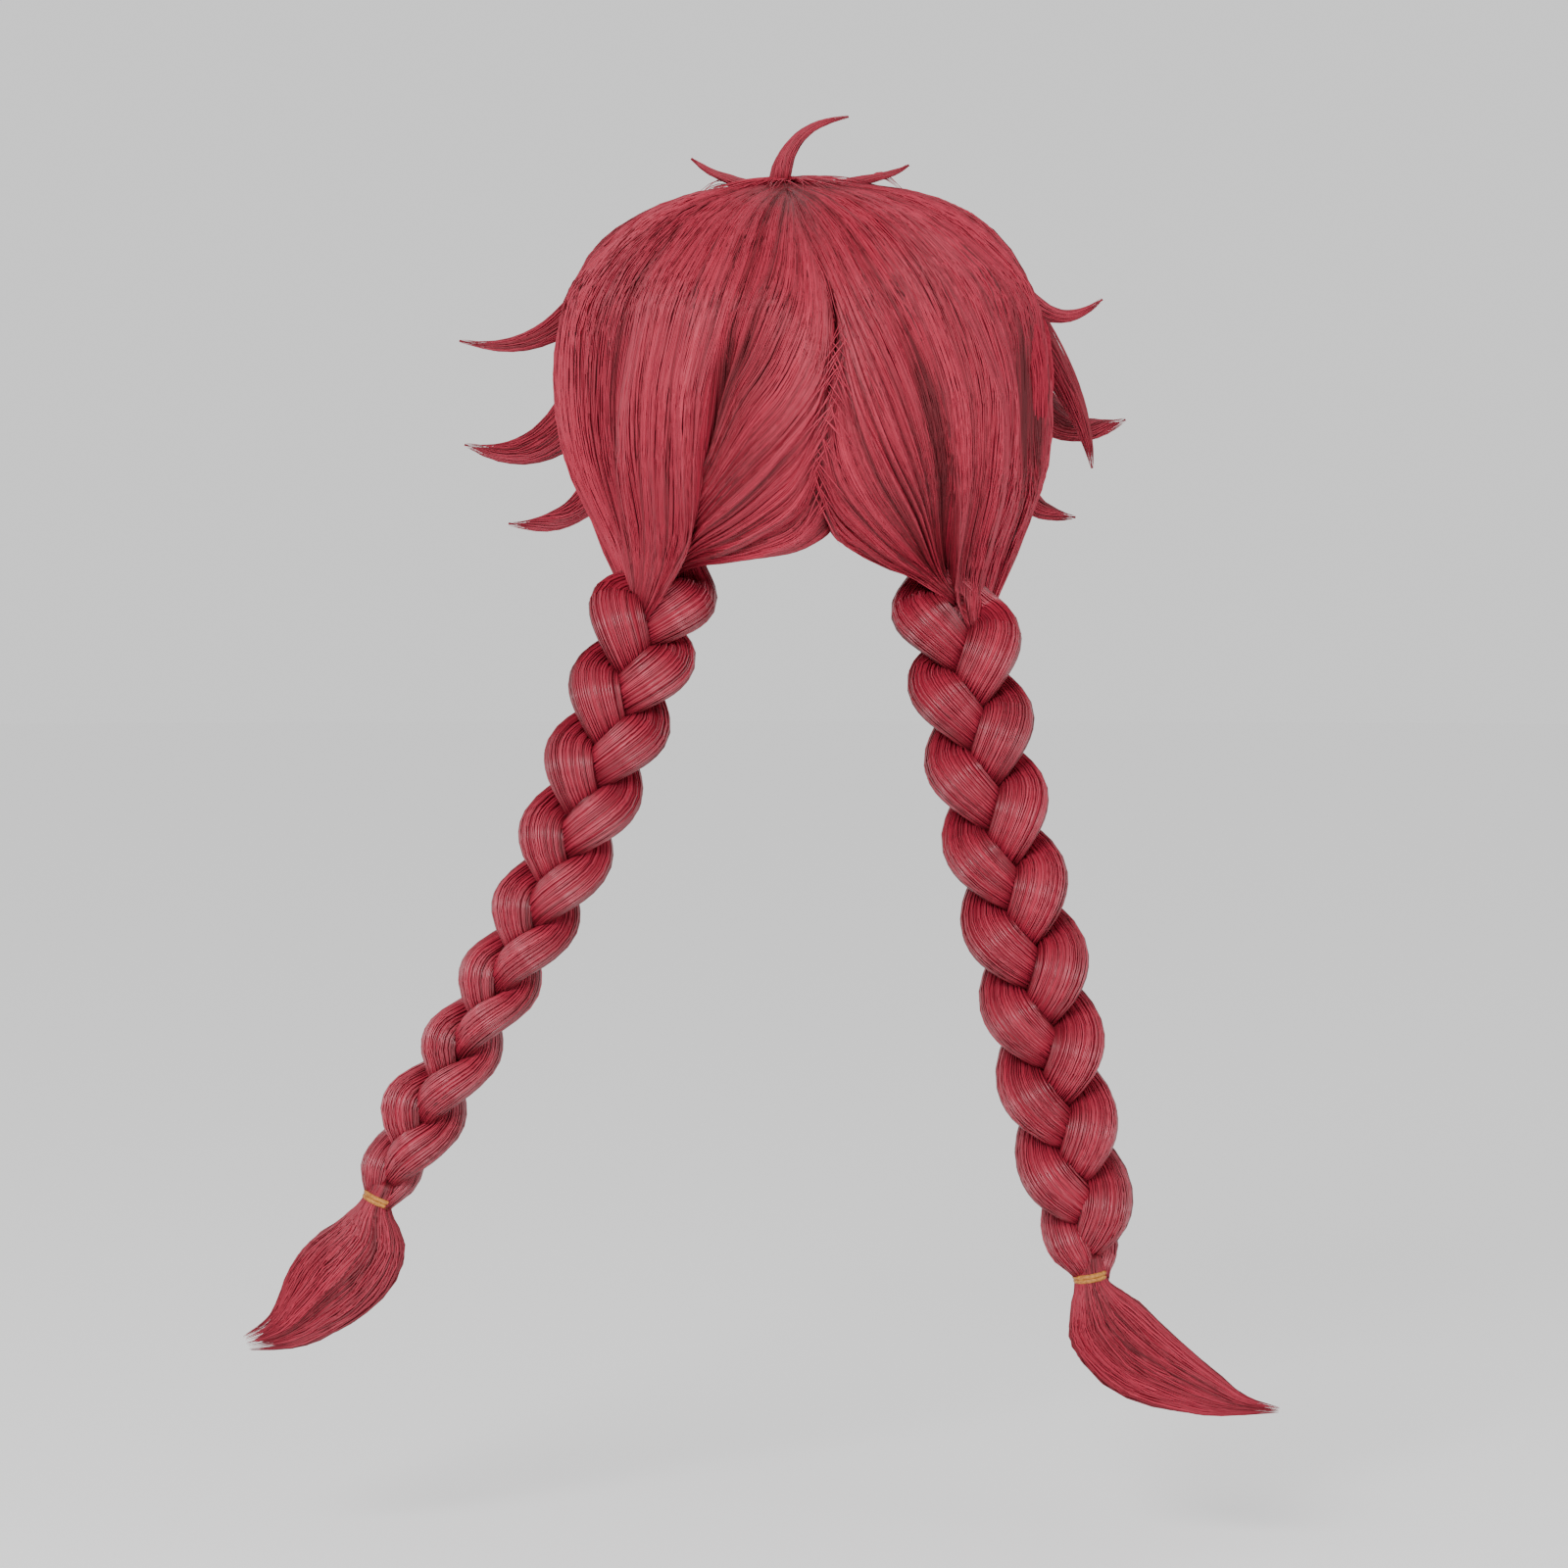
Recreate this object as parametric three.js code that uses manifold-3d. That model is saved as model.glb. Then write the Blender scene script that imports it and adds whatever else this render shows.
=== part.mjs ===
// Cosplay wig with two long plaits, as it stands on a head. Millimetres.
// +X is the wearer's right, +Y the way the wearer faces, +Z up.
// The origin is the point inside the cap that rests on the crown of the head.
import * as THREE from "three";
import { mergeVertices } from "three/addons/utils/BufferGeometryUtils.js";
import Module from "manifold-3d";

const wasm = await Module();
wasm.setup();

// Head that the cap fits: semi-axes about the middle of the head, for a girth of about 555 mm.
const headForm = {
  halfBreadth: 77,
  back: 99,
  front: 96,
  rise: 88,
  drop: 96,
  napeTuck: 0.45,
  crownPower: 2,
};
// Outer form of the hair about the same middle. A crown power over 2 is fuller than an ellipse.
const hairForm = {
  halfBreadth: 113,
  back: 128,
  front: 113,
  rise: 112,
  drop: 108,
  napeTuck: 0.45,
  crownPower: 2.5,
};
const middleZ = -headForm.rise;
const capWall = 1.6;
const seatGap = 0.3;
const farAway = 400;
const capFacets = { columns: 32, rows: 18 };
const hairFacets = { columns: 36, rows: 20 };

// Where the hair starts, and where the back parting reaches the nape.
const whorl = { x: -12, y: -24 };
const backParting = { x: 10, y: -farAway };
const templeParting = { x: 300, y: 82 };
const partingGap = 0.25;

// Folds pressed into the back of the hair: grooves that run down and deepen towards the nape.
const backFolds = [
  { name: "back parting", x: 10, top: -40, bottom: -150, halfWidth: 10, depth: 9 },
  { name: "left fold", x: -51, top: -75, bottom: -150, halfWidth: 11, depth: 8 },
  { name: "right fold", x: 59, top: -100, bottom: -150, halfWidth: 11, depth: 8 },
];

// Lower edge of the hair and of the cap under it, seen from the side: y forward, z up.
const napeZ = -152;
const hairRim = [
  { y: farAway, z: -100 },
  { y: 76, z: -100 },
  { y: 66, z: -128 },
  { y: 56, z: -148 },
  { y: 44, z: -150 },
  { y: 38, z: -130 },
  { y: 8, z: -134 },
  { y: -30, z: napeZ },
  { y: -farAway, z: napeZ },
];
const capRim = [
  { y: farAway, z: -48 },
  { y: 80, z: -52 },
  { y: 52, z: -96 },
  { y: 30, z: -118 },
  { y: 0, z: -112 },
  { y: -40, z: -132 },
  { y: -farAway, z: -136 },
];
// Arch between the two plaits at the nape, seen from behind.
const napeArch = { left: -36, peakX: 11, right: 33, peakZ: -146 };
// Pointed fringe across the brow, seen from the front.
const fringe = { locks: 5, halfWidth: 76, notchZ: -66, tipZ: -99.5, backY: 62 };

// Plaits of three strands. Each row is a place on the middle line of the plait, with the half width of the
// plait there and how far it has twisted, in degrees.
const plaits = {
  left: {
    wavelength: 103,
    endPhase: 90,
    rows: [
      { x: -62, y: -44, z: -146, half: 25.0, turn: 0 },
      { x: -77, y: -60, z: -191, half: 24.0, turn: 0 },
      { x: -98, y: -74, z: -251, half: 22.0, turn: 8 },
      { x: -120, y: -80, z: -304, half: 19.0, turn: 24 },
      { x: -146, y: -82, z: -352, half: 16.5, turn: 35 },
      { x: -175, y: -80, z: -402, half: 17.0, turn: 35 },
      { x: -187, y: -79, z: -424, half: 12.0, turn: 30 },
      { x: -193, y: -78.5, z: -435.6, half: 7.4, turn: 30 },
    ],
    tail: {
      neckHalf: 6.6,
      rows: [
        { x: -193.3, y: -78.5, z: -436.2, halfWidth: 6.6, halfThick: 6.6 },
        { x: -196.1, y: -78.3, z: -441.8, halfWidth: 6.6, halfThick: 6.6 },
        { x: -203, y: -79, z: -456, halfWidth: 17, halfThick: 9.5 },
        { x: -213, y: -81, z: -476, halfWidth: 20, halfThick: 11 },
        { x: -224, y: -82, z: -491, halfWidth: 15, halfThick: 8.5 },
        { x: -238, y: -83, z: -500, halfWidth: 8, halfThick: 5 },
        { x: -255, y: -83, z: -503, halfWidth: 1.2, halfThick: 1 },
      ],
    },
  },
  right: {
    wavelength: 110,
    endPhase: 90,
    rows: [
      { x: 61, y: -44, z: -146, half: 25.0, turn: 0 },
      { x: 70, y: -60, z: -198, half: 24.5, turn: 0 },
      { x: 84, y: -76, z: -270, half: 23.5, turn: 0 },
      { x: 101, y: -83, z: -339, half: 24.0, turn: 0 },
      { x: 114, y: -84, z: -404, half: 22.5, turn: 0 },
      { x: 123, y: -82, z: -440, half: 18.5, turn: 0 },
      { x: 125.2, y: -81, z: -458, half: 14.0, turn: 0 },
      { x: 126, y: -80.3, z: -469.6, half: 7.8, turn: 0 },
    ],
    tail: {
      neckHalf: 7.0,
      rows: [
        { x: 126.1, y: -80.2, z: -470.5, halfWidth: 7, halfThick: 7 },
        { x: 126.9, y: -79.9, z: -477.2, halfWidth: 7, halfThick: 7 },
        { x: 135, y: -81, z: -488, halfWidth: 16, halfThick: 9.5 },
        { x: 147, y: -83, z: -505, halfWidth: 19, halfThick: 11 },
        { x: 165, y: -84, z: -519, halfWidth: 15, halfThick: 9 },
        { x: 187, y: -85, z: -528, halfWidth: 8, halfThick: 5 },
        { x: 211, y: -85, z: -533, halfWidth: 1.2, halfThick: 1 },
      ],
    },
  },
};
// How far a strand swings to the side and to the back, and its own half width and half thickness, all as
// shares of the half width of the plait. A strand bulges outwards where it lies on top.
const strandShare = { swing: 0.65, depth: 0.417, width: 0.355, thick: 0.19, bulge: 0.65 };
const strandsInPlait = 3;
const strandSides = 8;
const strandSteps = 36;
const tailSides = 12;
const tailSteps = 12;
const tieRadius = 1.9;
const tiePlace = 0.4;
const tieGap = 0.5;
const tieSides = 6;
const tieSteps = 18;

// Loose locks that flick out of the hair: four points of a curve from root to tip, and the half width and
// half thickness of the lock at its root.
const looseLocks = [
  {
    name: "flick_left_upper",
    root: [-92, 2, -8],
    leave: [-112, 8, -40],
    approach: [-132, 14, -52],
    tip: [-157, 18, -51],
    halfWidth: 12,
    halfThick: 8.5,
  },
  {
    name: "flick_left_middle",
    root: [-100, 26, -54],
    leave: [-112, 30, -92],
    approach: [-130, 36, -98],
    tip: [-156, 42, -99],
    halfWidth: 14,
    halfThick: 9,
  },
  {
    name: "flick_left_lower",
    root: [-98, 40, -96],
    leave: [-98, 44, -126],
    approach: [-112, 48, -133],
    tip: [-137, 52, -135],
    halfWidth: 10,
    halfThick: 7,
  },
  {
    name: "flick_right_upper",
    root: [94, 0, -6],
    leave: [110, 6, -38],
    approach: [120, 10, -42],
    tip: [133, 12, -33],
    halfWidth: 11,
    halfThick: 7,
  },
  {
    name: "flick_right_front",
    root: [100, 26, -38],
    leave: [120, 34, -66],
    approach: [134, 40, -86],
    tip: [134, 42, -105],
    halfWidth: 13,
    halfThick: 7,
  },
  {
    name: "flick_right_middle",
    root: [101, 50, -58],
    leave: [111, 60, -88],
    approach: [128, 63, -96],
    tip: [146, 66, -88],
    halfWidth: 12,
    halfThick: 6,
  },
  {
    name: "flick_right_lower",
    root: [97, 50, -92],
    leave: [98, 52, -124],
    approach: [108, 54, -130],
    tip: [123, 56, -132],
    halfWidth: 10,
    halfThick: 6,
  },
  {
    name: "crown_sprig",
    root: [-14, -24, 14],
    leave: [-13, -26, 36],
    approach: [-4, -28, 48],
    tip: [16, -30, 50],
    halfWidth: 6,
    halfThick: 3.5,
  },
  {
    name: "crown_wisp_left",
    root: [-24, -10, 19],
    leave: [-36, -8, 24],
    approach: [-44, -6, 24.5],
    tip: [-53, -4, 32],
    halfWidth: 5,
    halfThick: 2,
  },
  {
    name: "crown_wisp_right",
    root: [12, -10, 20],
    leave: [26, -8, 24],
    approach: [36, -6, 23.5],
    tip: [45, -4, 29.5],
    halfWidth: 5,
    halfThick: 2,
  },
];
const lockSides = 8;
const lockSteps = 7;

const hairMaterial = () => new THREE.MeshStandardMaterial({ color: 0xa6434d, roughness: 0.5 });
const netMaterial = () => new THREE.MeshStandardMaterial({ color: 0x4a171d, roughness: 0.9 });
const tieMaterial = () => new THREE.MeshStandardMaterial({ color: 0xc48b4d, roughness: 0.6 });

const wig = new THREE.Group();

// A closed geometry as a solid that can be joined and cut.
function solidOf(geometry) {
  const bare = new THREE.BufferGeometry();
  bare.setAttribute("position", geometry.getAttribute("position"));
  bare.setIndex(geometry.index);
  const merged = mergeVertices(bare, 1e-4);
  return new wasm.Manifold(
    new wasm.Mesh({
      numProp: 3,
      vertProperties: merged.attributes.position.array,
      triVerts: new Uint32Array(merged.index.array),
    }),
  );
}

function addPiece(name, solid, material) {
  const { numVert, numProp, vertProperties, triVerts } = solid.getMesh();
  const positions = new Float32Array(numVert * 3);
  for (let i = 0; i < numVert; i++) {
    positions.set(vertProperties.subarray(i * numProp, i * numProp + 3), i * 3);
  }
  const geometry = new THREE.BufferGeometry();
  geometry.setAttribute("position", new THREE.BufferAttribute(positions, 3));
  geometry.setIndex(new THREE.BufferAttribute(triVerts, 1));
  const mesh = new THREE.Mesh(geometry, material);
  mesh.name = name;
  wig.add(mesh);
}

function smooth(from, to, value) {
  return THREE.MathUtils.smoothstep((value - from) / (to - from), 0, 1);
}

// How much wider than an ellipse the crown is at a height, as a share of its rise.
function crownFullness(power, height) {
  const up = THREE.MathUtils.clamp(height, 0, 0.995);
  return (1 - up ** power) ** (1 / power) / Math.sqrt(1 - up * up);
}

// An egg-shaped solid about the middle of the head, tucked in at the nape, with any folds pressed in.
function domeOf(form, grow, { columns, rows }, folds = []) {
  const dome = new THREE.SphereGeometry(1, columns, rows).rotateX(Math.PI / 2);
  const position = dome.getAttribute("position");
  const p = new THREE.Vector3();
  for (let i = 0; i < position.count; i++) {
    p.fromBufferAttribute(position, i);
    const tuck = p.z < 0 && p.y < 0 ? 1 - form.napeTuck * p.z * p.z : 1;
    const full = crownFullness(form.crownPower, p.z);
    p.x *= (form.halfBreadth + grow) * full;
    p.y *= ((p.y < 0 ? form.back : form.front) + grow) * tuck * full;
    p.z = middleZ + p.z * ((p.z < 0 ? form.drop : form.rise) + grow);
    for (const fold of folds) {
      const across = Math.exp(-(((p.x - fold.x) / fold.halfWidth) ** 2));
      p.y += fold.depth * across * smooth(fold.top, fold.bottom, p.z) * smooth(-10, -50, p.y);
    }
    position.setXYZ(i, p.x, p.y, p.z);
  }
  return solidOf(dome);
}

// An outline drawn in the plane of two axes and run straight along the third.
function prismOf(outline, acrossAxis, upAxis, from, to) {
  const shape = new THREE.Shape(outline.map(({ u, v }) => new THREE.Vector2(u, v)));
  const prism = new THREE.ExtrudeGeometry(shape, { depth: to - from, bevelEnabled: false, steps: 1 });
  const runAxis = new THREE.Vector3().crossVectors(acrossAxis, upAxis);
  prism.translate(0, 0, from);
  prism.applyMatrix4(new THREE.Matrix4().makeBasis(acrossAxis, upAxis, runAxis));
  return solidOf(prism);
}

const axisX = new THREE.Vector3(1, 0, 0);
const axisY = new THREE.Vector3(0, 1, 0);
const axisZ = new THREE.Vector3(0, 0, 1);

// All that lies under a rim drawn from the side.
function belowRim(rim) {
  const outline = rim.map(({ y, z }) => ({ u: y, v: z }));
  outline.push({ u: -farAway, v: -farAway }, { u: farAway, v: -farAway });
  return prismOf(outline, axisY, axisZ, -farAway, farAway);
}

// A wedge from the whorl outwards between two directions, seen from above, drawn in by half the
// parting gap.
function wedgeFromWhorl(first, second) {
  const toFirst = new THREE.Vector2(first.x - whorl.x, first.y - whorl.y).normalize();
  const toSecond = new THREE.Vector2(second.x - whorl.x, second.y - whorl.y).normalize();
  const inwards = toFirst.clone().add(toSecond).normalize().multiplyScalar(partingGap);
  const start = new THREE.Vector2(whorl.x, whorl.y).add(inwards);
  const corners = [
    start,
    start.clone().addScaledVector(toFirst, farAway),
    start.clone().addScaledVector(inwards, farAway / partingGap),
    start.clone().addScaledVector(toSecond, farAway),
  ];
  return prismOf(corners.map(({ x, y }) => ({ u: x, v: y })), axisX, axisY, -farAway, farAway);
}

// Rings of equal count joined into one closed skin, with a flat end at each side.
function loftOf(rings) {
  const sides = rings[0].length;
  const points = rings.flat();
  const triangles = [];
  for (let r = 0; r + 1 < rings.length; r++) {
    for (let k = 0; k < sides; k++) {
      const a = r * sides + k;
      const b = r * sides + ((k + 1) % sides);
      triangles.push(a, b, a + sides, b, b + sides, a + sides);
    }
  }
  const last = (rings.length - 1) * sides;
  for (let k = 1; k + 1 < sides; k++) {
    triangles.push(0, k + 1, k);
    triangles.push(last, last + k, last + k + 1);
  }
  const geometry = new THREE.BufferGeometry().setFromPoints(points);
  geometry.setIndex(triangles);
  return solidOf(geometry);
}

// An ellipse about a point, square to a direction, with its thin way towards a side, and a share by which
// it bulges towards that side or, below nought, away from it.
function ringAt(centre, along, thinWay, halfWidth, halfThick, sides, bulge = 0) {
  const thin = thinWay.clone().addScaledVector(along, -thinWay.dot(along)).normalize();
  const wide = new THREE.Vector3().crossVectors(along, thin);
  return Array.from({ length: sides }, (_, k) => {
    const turn = (2 * Math.PI * (k + 0.5)) / sides;
    const fuller = 1 + Math.max(0, bulge * Math.sign(Math.sin(turn)));
    return centre
      .clone()
      .addScaledVector(wide, -halfWidth * Math.cos(turn))
      .addScaledVector(thin, halfThick * fuller * Math.sin(turn));
  });
}

// A table's column read at a share of the way along its rows.
function columnAt(rows, column, share) {
  const place = THREE.MathUtils.clamp(share, 0, 1) * (rows.length - 1);
  const row = Math.min(Math.floor(place), rows.length - 2);
  return THREE.MathUtils.lerp(rows[row][column], rows[row + 1][column], smooth(0, 1, place - row));
}

function lineThrough(rows) {
  const points = rows.map(({ x, y, z }) => new THREE.Vector3(x, y, z));
  return new THREE.CatmullRomCurve3(points, false, "centripetal");
}

const behind = new THREE.Vector3(0, -1, 0);

// One strand of a plait: it swings from side to side once and from front to back twice in a wavelength, so
// that seen from behind it passes over the others on its way in from each edge.
function strandOf(plait, index) {
  const line = lineThrough(plait.rows);
  const length = line.getLength();
  const centreAt = (share) => {
    const place = line.getUtoTmapping(share);
    const along = line.getTangent(place);
    const towards = behind.clone().addScaledVector(along, -behind.dot(along)).normalize();
    const sideways = new THREE.Vector3().crossVectors(towards, along);
    const turn = THREE.MathUtils.degToRad(columnAt(plait.rows, "turn", place));
    const wide = sideways.clone().multiplyScalar(Math.cos(turn)).addScaledVector(towards, Math.sin(turn));
    const deep = towards.clone().multiplyScalar(Math.cos(turn)).addScaledVector(sideways, -Math.sin(turn));
    const half = columnAt(plait.rows, "half", place);
    const waves = ((share - 1) * length) / plait.wavelength + index / strandsInPlait;
    const phase = THREE.MathUtils.degToRad(plait.endPhase) + 2 * Math.PI * waves;
    const centre = line
      .getPoint(place)
      .addScaledVector(wide, half * strandShare.swing * Math.sin(phase))
      .addScaledVector(deep, -half * strandShare.depth * Math.sin(2 * phase));
    return { place, half, centre, deep, onTop: -Math.sin(2 * phase) };
  };
  const rings = [];
  const little = 0.002;
  for (let i = 0; i <= strandSteps; i++) {
    const share = i / strandSteps;
    const { place, half, centre, deep, onTop } = centreAt(share);
    const before = centreAt(Math.max(0, share - little)).centre;
    const after = centreAt(Math.min(1, share + little)).centre;
    const along = after.sub(before).normalize();
    along.lerp(line.getTangent(place), smooth(0.93, 1, share)).normalize();
    const halfWidth = half * strandShare.width;
    const halfThick = half * strandShare.thick;
    rings.push(ringAt(centre, along, deep, halfWidth, halfThick, strandSides, strandShare.bulge * onTop));
  }
  return loftOf(rings);
}

// The loose end below a tie: a brush that swells and runs to a point.
function tailOf({ rows }) {
  const line = lineThrough(rows);
  const rings = [];
  for (let i = 0; i <= tailSteps; i++) {
    const share = i / tailSteps;
    const halfWidth = columnAt(rows, "halfWidth", share);
    const halfThick = columnAt(rows, "halfThick", share);
    const centre = line.getPoint(share);
    rings.push(ringAt(centre, line.getTangent(share), behind, halfWidth, halfThick, tailSides));
  }
  return loftOf(rings);
}

// The elastic band around the neck of a tail.
function tieOf({ neckHalf, rows }) {
  const [top, bottom] = lineThrough(rows.slice(0, 2)).getPoints(1);
  const along = bottom.clone().sub(top).normalize();
  const ring = new THREE.TorusGeometry(neckHalf + tieGap + tieRadius, tieRadius, tieSides, tieSteps);
  ring.applyQuaternion(new THREE.Quaternion().setFromUnitVectors(axisZ, along));
  const middle = top.clone().lerp(bottom, tiePlace);
  ring.translate(middle.x, middle.y, middle.z);
  return solidOf(ring);
}

// A tapered lock along its curve, flat against the hair.
function lockOf({ root, leave, approach, tip, halfWidth, halfThick }) {
  const corners = [root, leave, approach, tip].map((corner) => new THREE.Vector3(...corner));
  const line = new THREE.CubicBezierCurve3(...corners);
  const outwards = corners[0].clone().sub(new THREE.Vector3(0, 0, middleZ)).normalize();
  const rings = [];
  for (let i = 0; i <= lockSteps; i++) {
    const share = i / lockSteps;
    const taper = Math.max(0.08, 1 - share ** 1.6);
    const centre = line.getPoint(share);
    const along = line.getTangent(share);
    rings.push(ringAt(centre, along, outwards, halfWidth * taper, halfThick * taper, lockSides));
  }
  return loftOf(rings);
}

// Cap that the hair is sewn to.
const head = domeOf(headForm, 0, capFacets);
const cap = domeOf(headForm, capWall, capFacets).subtract(head).subtract(belowRim(capRim));
addPiece("wig_cap", cap, netMaterial());

// Hair over the cap, parted at the back and at both temples.
const hairOuter = domeOf(hairForm, 0, hairFacets, backFolds);
const archOutline = [
  { u: napeArch.left, v: napeZ - farAway },
  { u: napeArch.right, v: napeZ - farAway },
  { u: napeArch.right, v: napeZ },
  { u: napeArch.peakX, v: napeArch.peakZ },
  { u: napeArch.left, v: napeZ },
];
const arch = prismOf(archOutline, axisX, axisZ, 0, farAway);
const notches = [];
for (let i = 0; i <= fringe.locks; i++) {
  const x = fringe.halfWidth * ((2 * i) / fringe.locks - 1);
  notches.push({ u: x, v: fringe.notchZ });
  if (i < fringe.locks) {
    notches.push({ u: x + fringe.halfWidth / fringe.locks, v: fringe.tipZ });
  }
}
const browStart = { u: -fringe.halfWidth, v: fringe.tipZ - 1 };
const browEnd = { u: fringe.halfWidth, v: fringe.tipZ - 1 };
const brow = [browStart, ...notches, browEnd];
const browCut = prismOf(brow.reverse(), axisX, axisZ, -farAway, -fringe.backY);
const hair = hairOuter
  .subtract(domeOf(headForm, capWall + seatGap, capFacets))
  .subtract(belowRim(hairRim))
  .subtract(arch)
  .subtract(browCut);
const leftTemple = { x: -templeParting.x, y: templeParting.y };
addPiece("hair_left", hair.intersect(wedgeFromWhorl(backParting, leftTemple)), hairMaterial());
addPiece("hair_right", hair.intersect(wedgeFromWhorl(templeParting, backParting)), hairMaterial());
addPiece("hair_front", hair.intersect(wedgeFromWhorl(leftTemple, templeParting)), hairMaterial());

// Plaits, ties and tails.
const underNape = prismOf(
  [
    { u: -farAway, v: -2 * farAway },
    { u: farAway, v: -2 * farAway },
    { u: farAway, v: napeZ - seatGap },
    { u: -farAway, v: napeZ - seatGap },
  ],
  axisX,
  axisZ,
  -farAway,
  farAway,
);
for (const [side, plait] of Object.entries(plaits)) {
  for (let index = 0; index < strandsInPlait; index++) {
    const strand = strandOf(plait, index).intersect(underNape);
    addPiece(`plait_${side}_strand_${index + 1}`, strand, hairMaterial());
  }
  addPiece(`tie_${side}`, tieOf(plait.tail), tieMaterial());
  addPiece(`tail_${side}`, tailOf(plait.tail), hairMaterial());
}

// Loose locks, each seated on the outside of the hair.
const hairSeat = domeOf(hairForm, seatGap, hairFacets, backFolds);
for (const lock of looseLocks) {
  addPiece(lock.name, lockOf(lock).subtract(hairSeat), hairMaterial());
}

export default wig;
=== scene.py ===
import math
import bmesh
import bpy
import numpy as np
from mathutils import Matrix, Vector


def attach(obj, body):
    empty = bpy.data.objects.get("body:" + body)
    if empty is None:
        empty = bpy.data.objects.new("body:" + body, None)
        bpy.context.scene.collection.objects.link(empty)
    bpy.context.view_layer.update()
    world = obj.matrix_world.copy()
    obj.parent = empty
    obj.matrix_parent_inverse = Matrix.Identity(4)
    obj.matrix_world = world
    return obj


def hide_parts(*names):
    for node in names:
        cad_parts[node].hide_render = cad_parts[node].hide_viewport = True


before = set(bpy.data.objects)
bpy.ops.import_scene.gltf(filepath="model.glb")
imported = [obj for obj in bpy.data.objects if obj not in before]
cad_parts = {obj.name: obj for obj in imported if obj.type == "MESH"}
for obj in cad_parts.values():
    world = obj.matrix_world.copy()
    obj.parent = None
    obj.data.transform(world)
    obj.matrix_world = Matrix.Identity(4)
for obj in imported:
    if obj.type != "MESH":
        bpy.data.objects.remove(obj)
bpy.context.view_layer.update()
mm = 0.001
weldGap = 2e-6  # metres
shortestEdge = 1e-7
dice = np.random.default_rng(11)


# Small helpers for shapes, all in millimetres

def ease(low, high, value):
    t = np.clip((np.asarray(value, float) - low) / (high - low), 0, 1)
    return t * t * (3 - 2 * t)


def unit(v):
    return v / np.maximum(np.linalg.norm(v, axis=-1, keepdims=True), 1e-9)


def between(a, b, c, d, f):  # on a smooth curve, a share f of the way from b to c
    return b + 0.5 * f * (c - a + f * (2 * a - 5 * b + 4 * c - d + f * (3 * (b - c) + d - a)))


def alongRows(rows, t):  # smooth curve through rows, t from 0 to 1
    rows = np.asarray(rows, float)
    place = np.clip(np.asarray(t, float), 0, 1) * (len(rows) - 1)
    i = np.minimum(place.astype(int), len(rows) - 2)
    f = (place - i)[..., None]
    return between(*(rows[np.clip(i + k, 0, len(rows) - 1)] for k in (-1, 0, 1, 2)), f)


def bezier(corners, t):
    p = np.asarray(corners, float)
    t = np.asarray(t, float)[..., None]
    return (1 - t) ** 3 * p[0] + 3 * t * (1 - t) ** 2 * p[1] + 3 * t * t * (1 - t) * p[2] + t ** 3 * p[3]


def wayAt(azimuth, elevation):  # from behind: azimuth 0 is the back of the head, 90 the wearer's right
    a, e = np.radians(azimuth), np.radians(elevation)
    return np.stack([np.sin(a) * np.cos(e), -np.cos(a) * np.cos(e), np.sin(e)], -1)


hairForm = dict(middle=-88, side=113, back=128, front=113, rise=112, drop=108, tuck=0.45, crownPower=2.5)


def crownFullness(up):  # how much wider than an ellipse the crown is at a share of its rise
    up = np.clip(up, 0, 0.995)
    power = hairForm["crownPower"]
    return (1 - up ** power) ** (1 / power) / np.sqrt(1 - up * up)


def onForm(way, lift):  # a point on the outer form of the hair, lifted off it
    f = hairForm
    x, y, z = way[..., 0], way[..., 1], way[..., 2]
    tuck = np.where((y < 0) & (z < 0), 1 - f["tuck"] * z * z, 1)
    full = crownFullness(z)
    return np.stack([
        x * (f["side"] + lift) * full,
        y * (np.where(y < 0, f["back"], f["front"]) + lift) * tuck * full,
        f["middle"] + z * (np.where(z < 0, f["drop"], f["rise"]) + lift),
    ], -1)


def tubeAlong(points, towards, halfWide, halfTop, halfUnder):
    points = np.asarray(points, float)
    along = unit(np.gradient(points, axis=0))
    towards = np.broadcast_to(np.asarray(towards, float), points.shape)
    deep = unit(towards - (towards * along).sum(-1, keepdims=True) * along)
    size = np.broadcast_arrays(halfWide, halfTop, halfUnder, np.zeros(len(points)))[:3]
    return dict(centre=points, wide=np.cross(deep, along), deep=deep, size=np.stack(size, -1))


def onTube(tube, q, s, lift, fill=1.0):  # q runs round the tube, s along it
    place = np.clip(s, 0, 1) * (len(tube["centre"]) - 1)
    i = np.minimum(place.astype(int), len(tube["centre"]) - 2)
    f = (place - i)[..., None]
    keys = ("centre", "wide", "deep", "size")
    centre, wide, deep, size = (tube[k][i] * (1 - f) + tube[k][i + 1] * f for k in keys)
    across, out = np.cos(2 * np.pi * q), np.sin(2 * np.pi * q)
    halfDeep = np.where(out > 0, size[..., 1], size[..., 2])
    return (centre + wide * ((size[..., 0] * fill + lift) * across)[..., None]
            + deep * ((halfDeep * fill + lift) * out)[..., None])


# Shader maths: a socket that takes part in expressions

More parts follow.
